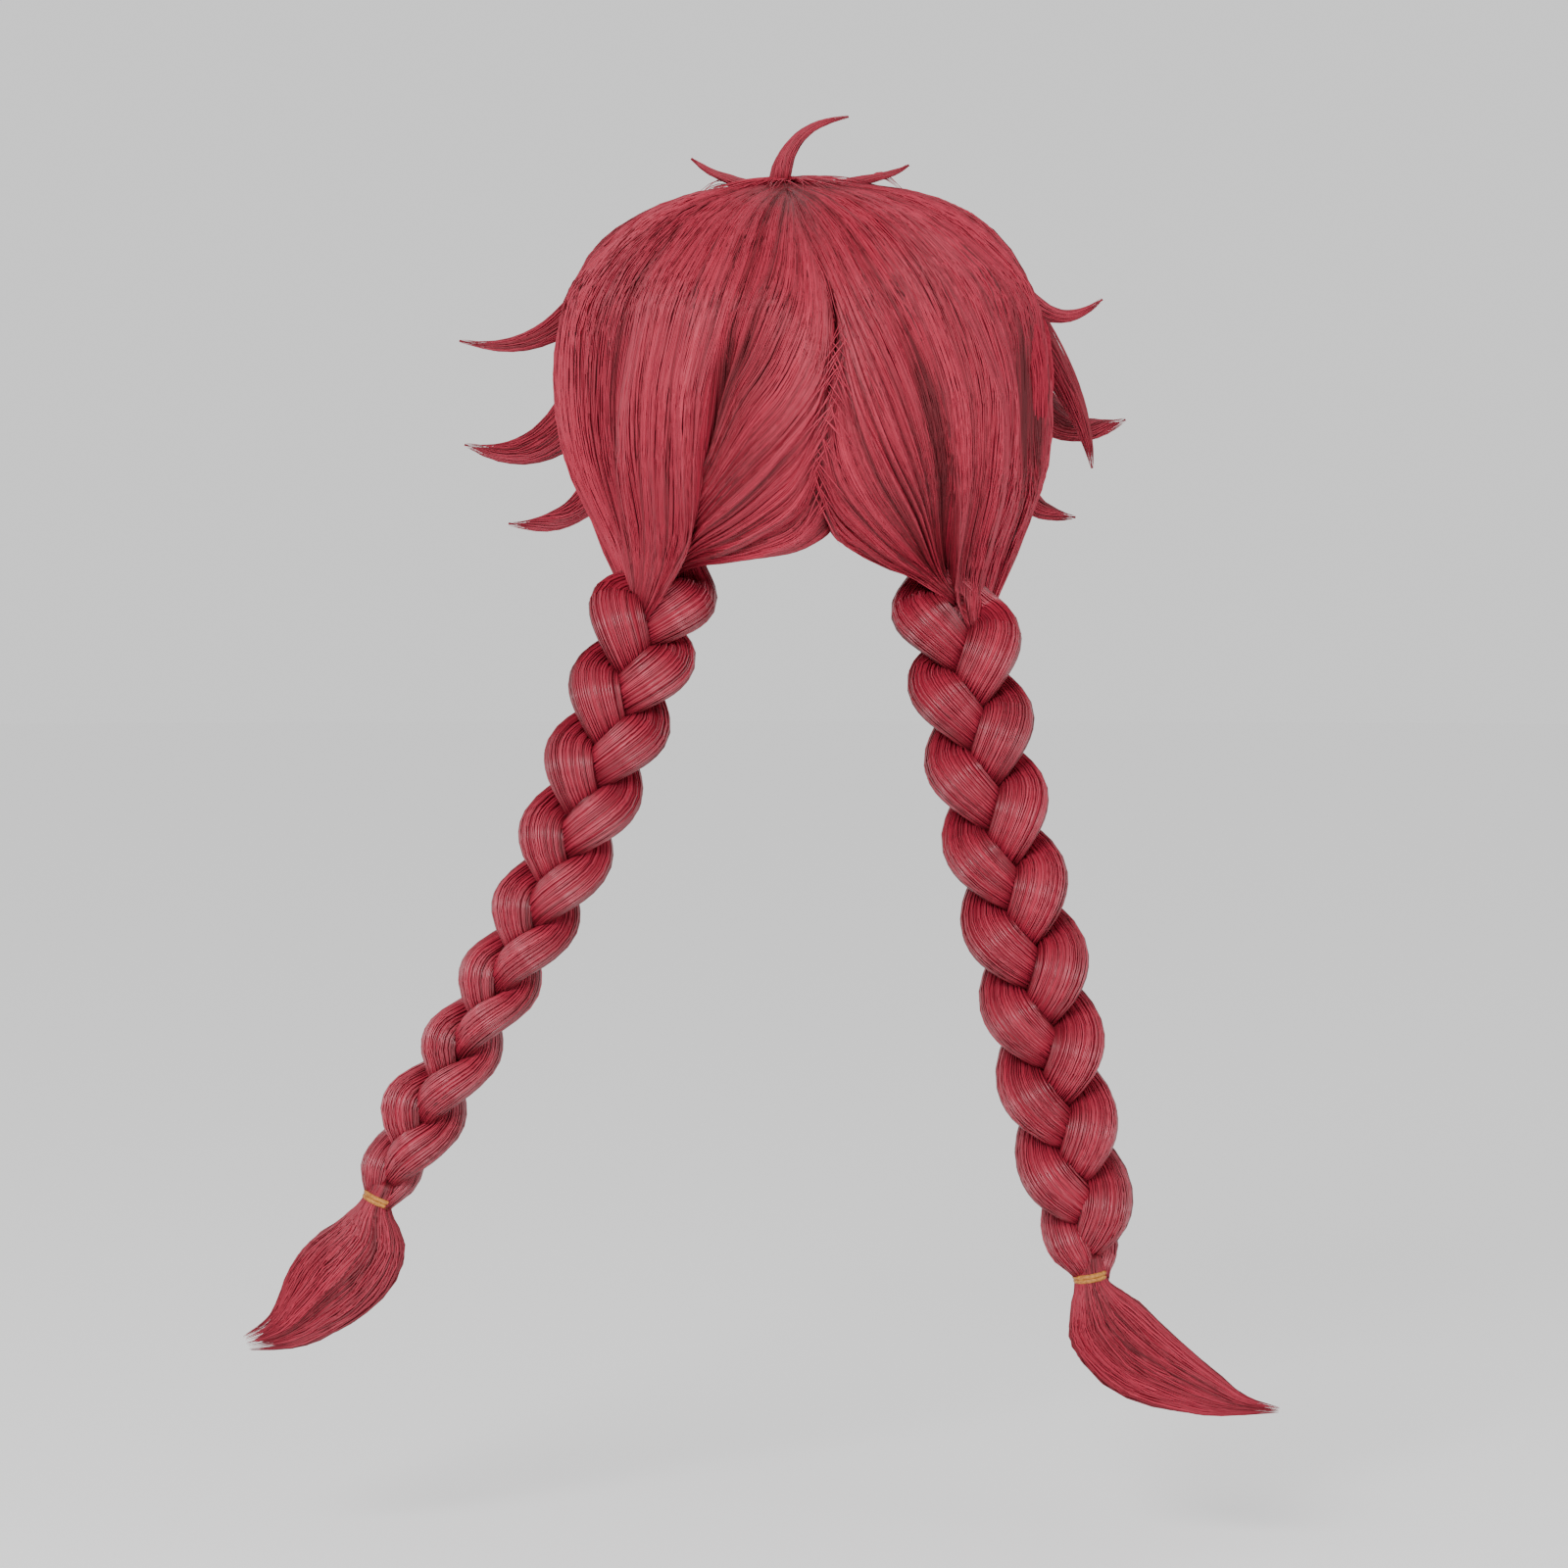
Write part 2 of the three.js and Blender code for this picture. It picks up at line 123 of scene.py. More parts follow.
class Wire:
    def __init__(self, tree, socket):
        self.tree, self.socket = tree, socket

    def node(self, kind, settings=None, inputs=None, output=0):
        made = self.tree.nodes.new(kind)
        for name, value in (settings or {}).items():
            if name == "stops":
                ramp = made.color_ramp.elements
                while len(ramp) < len(value):
                    ramp.new(0.5)
                for stop, (position, colour) in zip(ramp, value):
                    stop.position, stop.color = position, (*colour, 1)
            else:
                setattr(made, name, value)
        for name, value in (inputs or {}).items():
            if isinstance(value, Wire):
                self.tree.links.new(value.socket, made.inputs[name])
            else:
                made.inputs[name].default_value = value
        return Wire(self.tree, made.outputs[output])

    def maths(self, operation, a, b):
        return self.node("ShaderNodeMath", {"operation": operation}, {0: a, 1: b})

    def __add__(self, other):
        return self.maths("ADD", self, other)

    def __radd__(self, other):
        return self.maths("ADD", other, self)

    def __sub__(self, other):
        return self.maths("SUBTRACT", self, other)

    def __rsub__(self, other):
        return self.maths("SUBTRACT", other, self)

    def __mul__(self, other):
        return self.maths("MULTIPLY", self, other)

    def __rmul__(self, other):
        return self.maths("MULTIPLY", other, self)


sheenTint = (1.0, 0.82, 0.86)  # every highlight takes some of the hair's colour


def newFinish(name, roughness, specular):
    finish = bpy.data.materials.new(name)
    finish.use_nodes = True
    shader = finish.node_tree.nodes["Principled BSDF"]
    shader.inputs["Roughness"].default_value = roughness
    shader.inputs["Specular IOR Level"].default_value = specular
    shader.inputs["Specular Tint"].default_value = (*sheenTint, 1)
    return finish, shader, Wire(finish.node_tree, None)


def linkTo(shader, name, wire):
    wire.tree.links.new(wire.socket, shader.inputs[name])


def addBump(shader, at, height, strength, depth):
    inputs = {"Strength": strength, "Distance": depth, "Height": height}
    linkTo(shader, "Normal", at.node("ShaderNodeBump", {}, inputs))


hairColours = dict(
    deep=(0.105, 0.005, 0.010),
    dark=(0.200, 0.011, 0.022),
    middle=(0.350, 0.019, 0.043),
    light=(0.510, 0.038, 0.074),
)


# Painted shade: what is taken off the tone, from start to end of the hair's length
def paintedShadeAlong(at, along, start, end, first, last):
    return at.node("ShaderNodeMapRange", {"interpolation_type": "SMOOTHSTEP"},
                   {"Value": along, "From Min": start, "From Max": end, "To Min": first, "To Max": last})


def readFlow(at, layer):  # across and along the hair, from the piece's own map
    flow = at.node("ShaderNodeUVMap", {"uv_map": layer})
    across = at.node("ShaderNodeSeparateXYZ", {}, {0: flow})
    return across, Wire(at.tree, across.socket.node.outputs["Y"])


def grainNoise(at, across, along, detail):
    spot = at.node("ShaderNodeCombineXYZ", {}, {"X": across, "Y": along, "Z": 0.0})
    inputs = {"Vector": spot, "Scale": 1.0, "Detail": detail}
    return at.node("ShaderNodeTexNoise", {"noise_dimensions": "2D"}, inputs)


def hairRamp(at, tone, places):  # deep, dark, middle and light at four places of the tone
    return at.node("ShaderNodeValToRGB", {"stops": list(zip(places, hairColours.values()))}, {"Fac": tone})


fibreGrain = dict(across=61.0, along=1.2, detail=1.0, tone=0.2, rougher=0.24, ramp=(0.0, 0.2, 0.5, 1.0))


def fibreFinish(name, paintedShades, roughness, specular):  # a fibre's lane is its tone, from dark to light
    g = fibreGrain
    finish, shader, at = newFinish(name, roughness, specular)
    lane, along = readFlow(at, "fibre")
    drift = grainNoise(at, lane * g["across"], along * g["along"], g["detail"])
    tone = lane + (drift - 0.5) * g["tone"]
    # painted shade along the hair, taken off the lane's tone
    for paintedShade in paintedShades:
        tone = tone - paintedShadeAlong(at, along, *paintedShade)
    linkTo(shader, "Base Color", hairRamp(at, tone, g["ramp"]))
    linkTo(shader, "Roughness", roughness + drift * g["rougher"])
    return finish


# The ramp's stops sit high, so a mass comes out darker than the fibres over it: painted shade under them.
# Its roots get painted shade as well.
bodyGrain = dict(
    along=0.9, detail=2.0, fine=0.5, wide=0.4, rootShadeEnd=0.24, paintedRootShare=0.5, ramp=(0.22, 0.40, 0.56, 0.82),
    rough=0.45, rougher=0.2, specular=0.35, bump=0.6, bumpDepth=0.0007,
)


def bodyFinish(name, streaks, clumps, root, lighter):  # the mass under the loose fibres, in streaks
    g = bodyGrain
    finish, shader, at = newFinish(name, g["rough"], g["specular"])
    across, along = readFlow(at, "flow")
    fine = grainNoise(at, across * streaks, along * g["along"], g["detail"])
    wide = grainNoise(at, across * clumps, along * g["along"], g["detail"])
    # painted shade: darker at the roots
    paintedShade = paintedShadeAlong(at, along, 0.0, g["rootShadeEnd"], root, 0.0)
    tone = fine * g["fine"] + wide * g["wide"] + lighter - g["paintedRootShare"] * paintedShade
    linkTo(shader, "Base Color", hairRamp(at, tone, g["ramp"]))
    linkTo(shader, "Roughness", g["rough"] + fine * g["rougher"])
    addBump(shader, at, fine, g["bump"], g["bumpDepth"])
    return finish


def inScene(name, data):
    made = bpy.data.objects.new(name, data)
    bpy.context.scene.collection.objects.link(made)
    return made


def addPiece(name, mesh, finish, slot, *nodes):
    mesh.materials.append(finish)
    mesh.polygons.foreach_set("use_smooth", np.ones(len(mesh.polygons), bool))
    piece = inScene(name, mesh)
    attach(piece, "root")
    if nodes:
        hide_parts(*nodes)


# A grid rolled into a closed tube, whose ends may draw to a point
def rolled(bm, sides, steps, place, span=(0.0, 1.0)):
    flow = bm.loops.layers.uv.get("flow") or bm.loops.layers.uv.new("flow")
    before = set(bm.verts)
    faces = set(bm.faces)
    bmesh.ops.create_grid(bm, x_segments=sides, y_segments=steps, size=0.5, calc_uvs=False)
    made = [v for v in bm.verts if v not in before]
    grid = np.array([v.co[:2] for v in made]) + 0.5
    for face in bm.faces:
        if face not in faces:
            for loop in face.loops:
                u = loop.vert.co.x + 0.5
                loop[flow].uv = (span[0] + (span[1] - span[0]) * u, loop.vert.co.y + 0.5)
    spots = place(grid[:, 0], grid[:, 1]) * mm
    for v, spot in zip(made, spots):
        v.co = spot
    bmesh.ops.remove_doubles(bm, verts=made, dist=weldGap)


def closedMesh(name, bm):
    edges = [e for e in bm.edges if e.is_boundary]
    if edges:
        bmesh.ops.holes_fill(bm, edges=edges, sides=0)
    bmesh.ops.dissolve_degenerate(bm, dist=shortestEdge, edges=bm.edges)
    bmesh.ops.recalc_face_normals(bm, faces=bm.faces)
    mesh = bpy.data.meshes.new(name)
    bm.to_mesh(mesh)
    bm.free()
    return mesh


def addMass(name, look, place, finish, *nodes):
    bm = bmesh.new()
    rolled(bm, look["sides"], look["rows"], place)
    addPiece(name, closedMesh(name, bm), finish, "hair", *nodes)


fibreSheet = dict(lanes=48, laneEdge=0.2, laneStep=0.3, endGap=0.01)


# Paths are fibres, steps, xyz, and each fibre is a closed three-sided rod
def addFibres(name, finish, paths, radii, tones):
    n, m, _ = paths.shape
    lanes, endGap = fibreSheet["lanes"], fibreSheet["endGap"]
    along = unit(np.gradient(paths, axis=1))
    worst = np.abs(along).max(axis=1)
    reference = np.eye(3)[worst.argmin(axis=1)][:, None, :]
    side = unit(np.cross(along, np.broadcast_to(reference, along.shape)))
    up = np.cross(along, side)
    turns = 2 * np.pi * np.arange(3) / 3
    ring = np.cos(turns)[:, None] * side[:, :, None, :] + np.sin(turns)[:, None] * up[:, :, None, :]
    spots = (paths[:, :, None, :] + radii[:, :, None, None] * ring) * mm
    index = np.arange(n * m * 3).reshape(n, m, 3)
    nextRound = np.roll(index, -1, axis=2)
    walls = np.stack([index[:, :-1], nextRound[:, :-1], nextRound[:, 1:], index[:, 1:]], -1).reshape(-1, 4)
    ends = np.concatenate([index[:, 0, ::-1], index[:, -1]])
    loops = np.concatenate([walls.ravel(), ends.ravel()])
    starts = np.concatenate([np.arange(len(walls)) * 4, len(walls) * 4 + np.arange(len(ends)) * 3])
    mesh = bpy.data.meshes.new(name)
    mesh.vertices.add(n * m * 3)
    mesh.vertices.foreach_set("co", spots.ravel())
    mesh.loops.add(len(loops))
    mesh.loops.foreach_set("vertex_index", loops)
    mesh.polygons.add(len(starts))
    mesh.polygons.foreach_set("loop_start", starts)
    # lane and length along the fibre, and the same laid out with room between lanes for a flat picture
    lane = np.repeat(np.clip(np.floor(tones * lanes), 0, lanes - 1), m * 3)
    far = np.tile(np.repeat(np.linspace(0, 1, m), 3), n)
    corner = np.tile(np.arange(3), n * m)
    fibre = np.stack([(lane + 0.5) / lanes, far], -1)
    apart = lane + fibreSheet["laneEdge"] + fibreSheet["laneStep"] * corner
    flat = np.stack([apart / lanes, endGap + (1 - 2 * endGap) * far], -1)
    for label, values in (("fibre", fibre), ("OFBake", flat)):
        layer = mesh.uv_layers.new(name=label)
        layer.data.foreach_set("uv", values[loops].astype(np.float32).ravel())
    mesh.update(calc_edges=True)
    mesh.validate()
    addPiece(name, mesh, finish, "hair")


thinnestShare = 0.06  # of a fibre's radius, at its ends


def each(n):  # a random share for each of n fibres
    return dice.random((n, 1))


def taperedRadii(n, m, radius, root, tip):
    s = np.linspace(0, 1, m)
    shape = np.minimum(ease(-0.3 * root, root, s), 1 - ease(1 - tip, 1.02, s))
    return radius * (0.75 + 0.5 * each(n)) * np.maximum(shape, thinnestShare)


clumpWaves = ((1.0, 0.08), (2.3, 0.07), (5.1, 0.05))  # how many to a clump, and their share of the tone


def clumpTone(u, count, loose=0.3):  # neighbouring fibres share a tone, so that the hair falls in clumps
    tone = np.full(len(u), 0.5)
    for k, share in clumpWaves:
        turn = dice.random()
        bend = 2 * np.sin(2 * np.pi * (count * u / 3 + dice.random()))
        tone += share * np.sin(2 * np.pi * (k * count * u + turn) + bend)
    return np.clip(tone + loose * (dice.random(len(u)) - 0.5), 0, 1)


def wander(n, m, amount, waves=2.0):  # slow random drift along each of n fibres
    s = np.linspace(0, 1, m)
    drift = np.zeros((n, m))
    for k in (1.0, 0.45):
        turn = 2 * np.pi * each(n)
        rate = waves / k * (0.6 + 0.8 * each(n))
        drift += k * np.sin(2 * np.pi * rate * s + turn)
    return amount * drift


leastBend = 0.6  # weight of a straight stretch, as a share of the mean bend


def closerAtBends(tube, m):  # places along a tube, closer together where it bends
    along = unit(np.gradient(tube["centre"], axis=0))
    bend = np.linalg.norm(np.gradient(along, axis=0), axis=1)
    weight = bend + leastBend * bend.mean()
    far = np.concatenate([[0], np.cumsum(weight[1:] + weight[:-1])])
    return np.interp(np.linspace(0, far[-1], m), far, np.linspace(0, 1, len(bend)))


tubeFibre = dict(
    clumps=4, wander=0.010, lowest=0.3, drift=0.25,
    spread=(0.0, 1.0), edge=0.2, loose=0.3, tone=0.0, taper=(0.12, 0.25),  # unless the look gives its own
)


def fibresOnTube(tube, relief, look, places):
    b = {**tubeFibre, **look}
    n, m, lift = b["fibres"], b["fibreSteps"], b["lift"]
    first, last = b["spread"]
    near, far = b["ends"]
    q = first + (last - first) * (np.arange(n) + dice.random(n)) / n
    sides = 1 - np.abs(np.sin(2 * np.pi * q))  # painted shade: the lock is darker at its sides than on its face and underside
    tones = clumpTone(q, b["clumps"], b["loose"]) + b["tone"] - b["edge"] * sides
    s = (near + (far - near) * each(n)) * places
    q = q[:, None] + wander(n, m, b["wander"])
    up = lift * (b["lowest"] + each(n)) + wander(n, m, b["drift"] * lift)
    return onTube(tube, q, s, up + relief(q, s)), taperedRadii(n, m, b["radius"], *b["taper"]), tones


# Camera and light

view = dict(centre=(-0.0114, -0.08, -0.2508), far=2.6, rise=3.0, acrossFrame=0.704, sensor=36, clipEnd=50)


def facing(way):
    return way.to_track_quat("-Z", "Y").to_euler()


def placeCamera():
    camera = bpy.data.cameras.new("camera")
    camera.sensor_width = view["sensor"]
    camera.lens = view["sensor"] * view["far"] / view["acrossFrame"]
    camera.clip_end = view["clipEnd"]
    holder = inScene("camera", camera)
    rise = math.radians(view["rise"])
    centre = Vector(view["centre"])
    holder.location = centre + view["far"] * Vector((0, -math.cos(rise), math.sin(rise)))
    holder.rotation_euler = facing(centre - holder.location)
    bpy.context.scene.camera = holder


lamps = [
    dict(name="keyLight", place=(-0.8, -2.3, 1.0), size=1.1, power=52, aim=(0, 0, -0.2)),
    dict(name="fillLight", place=(1.5, -1.9, 0.2), size=1.5, power=18, aim=(0, 0, -0.25)),
]
studio = dict(world=1.0, floorLevel=-0.60, floorRadius=9, floorSides=96, floorShade=0.97)


def lightStudio():
    for lamp in lamps:
        light = bpy.data.lights.new(lamp["name"], "AREA")
        light.shape = "DISK"
        light.size = lamp["size"]
        light.energy = lamp["power"]
        holder = inScene(lamp["name"], light)
        holder.location = lamp["place"]
        holder.rotation_euler = facing(Vector(lamp["aim"]) - holder.location)
    world = bpy.data.worlds.new("studio")
    world.use_nodes = True
    background = world.node_tree.nodes["Background"].inputs
    background["Color"].default_value = (1, 1, 1, 1)
    background["Strength"].default_value = studio["world"]
    bpy.context.scene.world = world
    bm = bmesh.new()
    bmesh.ops.create_circle(bm, cap_ends=True, segments=studio["floorSides"], radius=studio["floorRadius"])
    bmesh.ops.translate(bm, vec=(0, 0, studio["floorLevel"]), verts=bm.verts)
    mesh = bpy.data.meshes.new("floor")
    bm.to_mesh(mesh)
    bm.free()
    finish, shader, _ = newFinish("paleFloor", 0.9, 0.1)
    shader.inputs["Base Color"].default_value = (*[studio["floorShade"]] * 3, 1)
    mesh.materials.append(finish)
    inScene("floor", mesh)


placeCamera()
lightStudio()
print("stage: camera, light and floor placed")

# Painted shades: start, end, and what is taken off the tone at each. They paint shade on the roots at the
# crown, on the curtains' tips, on the inner hair under the curtain's edge, deeper in the valley beside the
# fold, and in a band across the gap at the right.
paintedRootShade = (0.0, 0.24, 0.40, 0.0)
leftFibre = fibreFinish("leftFibre", [paintedRootShade, (0.72, 1.0, 0.0, 0.10)], 0.36, 0.45)
rightFibre = fibreFinish("rightFibre", [paintedRootShade, (0.72, 1.0, 0.0, 0.06)], 0.36, 0.45)
innerFibre = fibreFinish("innerFibre", [paintedRootShade, (0.38, 0.80, 0.0, 0.22)], 0.36, 0.45)
valleyFibre = fibreFinish("valleyFibre", [paintedRootShade, (0.42, 0.62, 0.0, 0.42)], 0.40, 0.35)
gapFibre = fibreFinish("gapFibre", [paintedRootShade, (0.34, 0.56, 0.0, 0.46), (0.60, 0.84, 0.0, -0.42)], 0.40, 0.35)
# painted shade at the roots of the other fibres
fibreHair = fibreFinish("fibreHair", [(0.0, 0.24, 0.26, 0.0)], 0.36, 0.45)
plaitFibre = fibreFinish("plaitFibre", [], 0.26, 0.85)
frontFibre = fibreFinish("frontFibre", [(0.0, 0.24, 0.20, 0.0)], 0.48, 0.18)
# the masses under the fibres: painted shade at the roots, least on the locks and none on the plaits
bodyHair = bodyFinish("bodyHair", 300, 30, 0.26, 0.0)
plaitHair = bodyFinish("plaitHair", 56, 6, 0.0, 0.08)
lockHair = bodyFinish("lockHair", 40, 5, 0.1, 0.0)


# Back and side hair: each half runs from the parting and whorl down to its plait.
# A back guide is five places, x and z as seen from behind; a side guide is azimuth and elevation.
# Guides before the fold run in under the curtain, and those after it end on the plait.

leftHair = dict(
    back=[
        [(11, -143), (-4, -148), (-20, -152), (-36, -154), (-54, -156)],
        [(6, -118), (-6, -135), (-22, -144), (-37, -149), (-55, -152)],
        [(6, -92), (-7, -117), (-23, -131), (-38, -140), (-53, -147)],
        [(12, -50), (3, -87), (-15, -109), (-32, -125), (-51, -140)],
        [(7, -22), (6, -64), (-10, -91), (-29, -111), (-50, -134)],
        [(-4, 5), (1, -40), (-9, -71), (-28, -95), (-49, -126)],
        [(-9, 17), (-14, -22), (-26, -52), (-39, -78), (-50, -114)],
        [(-12, 20.5), (-36, -24), (-48, -66), (-51, -106), (-53, -142)],
        [(-13, 21.5), (-48, -20), (-62, -63), (-66, -103), (-66, -143)],
        [(-14, 22.2), (-66, -18), (-80, -62), (-84, -103), (-79, -143)],
        [(-17, 22.6), (-93, -15), (-109, -60), (-107, -106), (-91, -145)],
    ],
    side=[[(-95, 77), (-104, 58), (-103, 32), (-99, 0), (-92, -30)]],
    fold=6.7, foldStart=0.30, foldDepth=7.2,
    inEnd=(-66, -54, -162), inSpread=(-3, 0, 6), outEnd=(-77, -68, -183), outSpread=(-3, 8, 8),
    gaps=[], shoulder=7, finish=leftFibre, seed=1,
)
rightHair = dict(
    back=[
        [(10, -143), (17, -148), (26, -153), (36, -157), (48, -160)],
        [(4, -116), (12, -134), (23, -144), (36, -152), (50, -159)],
        [(5, -92), (11, -120), (25, -137), (39, -149), (53, -158)],
        [(12, -52), (18, -95), (29, -121), (44, -141), (56, -157)],
        [(9, -27), (21, -76), (34, -108), (47, -133), (58, -157)],
        [(0, -4), (22, -62), (37, -98), (50, -125), (60, -157)],
        [(-7, 15), (20, -35), (41, -80), (53, -117), (61, -157)],
        [(-9, 20.5), (29, -19), (52, -64), (61, -109), (63, -157)],
        [(-9, 21.5), (45, -12), (71, -64), (74, -109), (67, -157)],
        [(-7, 22.2), (63, -11), (90, -61), (91, -109), (82, -152)],
        [(-4, 22.6), (86, -12), (109, -61), (106, -109), (95, -146)],
    ],
    side=[[(115, 80), (102, 62), (101, 35), (98, 0), (92, -31)]],
    fold=7.3, foldStart=0.55, foldDepth=4.2,
    inEnd=(66, -58, -172), inSpread=(4, 0, 4), outEnd=(74, -70, -192), outSpread=(5, 8, 8),
    gaps=[dict(at=9.1, wide=0.9, start=0.30, end=0.48, depth=5)], shoulder=-2, finish=rightFibre, seed=2,
)
hairShare = dict(
    ridges=14, ridgeSize=(0.3, 1.6), broad=2.2, fine=0.8, sway=1.6, groove=3.2, curl=0.07, curlDepth=7,
    # The tones of the halves paint light on the clumps' backs and shade in their grooves, on the inner side
    # and in the valley beside the fold
    clumps=13, loose=0.34, broadShading=0.20, fineShading=0.12, innerShade=0.04, valleyShade=0.25, valley=0.75,
    fibres=1250, steps=18, radius=0.36, sides=320, rows=36, thick=9, bodyDepth=0.9, sunk=2.5, hollow=0.2,
    outer=0.75,  # share of the sides that face out
    rootSteps=1.4,  # closer steps where the guides' first reach is long
)


def behind(x, z):  # the place on the back of the hair form that is seen at x and z from behind
    f = hairForm
    up = (z - f["middle"]) / np.where(z < f["middle"], f["drop"], f["rise"])
    across = x / f["side"] / crownFullness(up)
    return np.stack([across, -np.sqrt(np.maximum(1 - across ** 2 - up ** 2, 0)), up], -1)


def guideLines(half):
    back = np.array(half["back"], float)
    side = np.array(half["side"], float)
    onBack = onForm(unit(behind(back[..., 0], back[..., 1])), 0)
    lines = np.concatenate([onBack, onForm(wayAt(side[..., 0], side[..., 1]), 0)])
    count = len(lines)
    number = np.arange(count)[:, None]
    inward = np.clip(number / half["fold"], 0, 1)
    outward = np.clip((number - half["fold"]) / (count - 1 - half["fold"]), 0, 1)
    inEnds = np.array(half["inEnd"]) + inward * np.array(half["inSpread"])
    outEnds = np.array(half["outEnd"]) + outward * np.array(half["outSpread"])
    ends = np.where(number < half["fold"], inEnds, outEnds)
    return np.concatenate([lines, ends[:, None]], axis=1)


def acrossRows(lines, u):  # lines: guides, points, xyz, read between guides at u
    count = len(lines)
    place = np.clip(u, 0, 1) * (count - 1)
    i = np.minimum(place.astype(int), count - 2)
    f = (place - i)[..., None]
    picks = [np.clip(i + k, 0, count - 1)[None, ..., None] for k in (-1, 0, 1, 2)]
    return between(*(np.take_along_axis(lines, pick, 0)[0] for pick in picks), f)


def outToForm(spot, s):  # on the crown, brings a place that has sunk between guides out to the form
    f = hairForm
    p = f["crownPower"]
    ahead = spot[..., 1] / np.where(spot[..., 1] < 0, f["back"], f["front"])
    up = np.maximum((spot[..., 2] - f["middle"]) / f["rise"], 0)
    gauge = (np.hypot(spot[..., 0] / f["side"], ahead) ** p + up ** p) ** (1 / p)
    share = (1 - ease(0.3, 0.5, s)) * ease(0.0, 0.3, up)
    grow = 1 + share * np.maximum(1 / np.maximum(gauge, 0.5) - 1, 0)
    centre = np.array((0, 0, f["middle"]))
    return centre + (spot - centre) * grow[..., None]


def halfPoint(half, u, s, lift):
    lines = np.stack([alongRows(g, s) for g in half["lines"]], 0)
    spot = outToForm(acrossRows(lines, u), s)
    f = hairForm
    x, y, z = spot[..., 0], spot[..., 1], spot[..., 2] - f["middle"]
    away = unit(np.stack([x / f["side"] ** 2, y / np.where(y < 0, f["back"], f["front"]) ** 2,
                          z / np.where(z < 0, f["drop"], f["rise"]) ** 2], -1))
    hang = unit(np.stack([0.02 * (x - half["outEnd"][0]), np.full_like(x, -1), np.full_like(x, -0.2)], -1))
    near = ease(0.7, 0.95, s)[..., None]
    return spot + unit(away * (1 - near) + hang * near) * lift[..., None]


def inGap(half, gap, u, s):  # from 0 to 1 where the hair has parted and shows the shade under it
    place = u * (len(half["lines"]) - 1) - gap["at"]
    across = ease(-0.1, 0.1, place) * (1 - ease(gap["wide"], gap["wide"] + 0.4, place))
    return across * ease(gap["start"], gap["start"] + 0.15, s) * (1 - ease(gap["end"], gap["end"] + 0.2, s))


# Broad and fine clumps: 0 in the grooves, 1 on their backs, and the size of the broad ones
def crests(half, u, s):
    slow = np.sin(2 * np.pi * (0.5 * s + 2.1 * u + 0.37 * half["seed"]))
    wobble = 0.35 * slow + 0.2 * np.sin(2 * np.pi * (0.9 * s - 5 * u))
    count = u * hairShare["ridges"] + wobble + 1
    broad = np.sin(np.pi * count) ** 2
    fine = np.sin(np.pi * (2.7 * u * hairShare["ridges"] + 2 * wobble)) ** 2
    return broad, fine, half["ridgeSize"][np.floor(count).astype(int)]


# Clumps, the parting's groove, the fold beside the plait, any gaps and the shoulder
def halfRelief(half, u, s):
    h = hairShare
    broad, fine, size = crests(half, u, s)
    lift = (h["broad"] * size * broad + h["fine"] * fine) * ease(0.0, 0.22, s) * (1 - 0.5 * ease(0.8, 1, s))
    sway = np.sin(2 * np.pi * (0.8 * s + 1.7 * u + 0.2 * half["seed"]))
    lift = lift + h["sway"] * sway * ease(0.05, 0.3, s)
    lift = lift - h["groove"] * np.exp(-s / 0.04) * (1 - ease(0.27, 0.42, u))
    curl = np.clip(1 - u / h["curl"], 0, 1)
    lift = lift - h["curlDepth"] * (1 - np.sqrt(1 - 0.98 * curl ** 2))
    beside = u * (len(half["lines"]) - 1) - half["fold"]
    over = ease(-0.06, 0.06, beside)
    above = over * np.exp(-np.maximum(beside, 0) / 0.9)
    below = 1.4 * (1 - over) * np.exp(np.minimum(beside, 0) / 0.8)
    foldOpen = ease(half["foldStart"], half["foldStart"] + 0.2, s)
    lift = lift + half["foldDepth"] * (above - below) * foldOpen * (1 - ease(0.9, 1, s))
    for gap in half["gaps"]:
        lift = lift - gap["depth"] * inGap(half, gap, u, s)
    lift = lift + half["shoulder"] * ease(0.5, 0.9, u) * ease(0.0, 0.3, s) * (1 - ease(0.3, 0.7, s))
    return lift - h["sunk"]


def halfTones(half, u):  # painted light on the clumps' backs, painted shade in the grooves, on the inner side and most in the valley beside the fold
    h = hairShare
    broad, fine, _ = crests(half, u, np.full(len(u), 0.5))
    within = half["fold"] - u * (len(half["lines"]) - 1)
    inner = ease(-0.1, 0.3, within)
    tones = clumpTone(u, h["clumps"], h["loose"])
    tones = tones + h["broadShading"] * (broad - 0.5) + h["fineShading"] * (fine - 0.5)
    return tones - inner * (h["innerShade"] + h["valleyShade"] * np.exp(-np.maximum(within, 0) / 0.5))


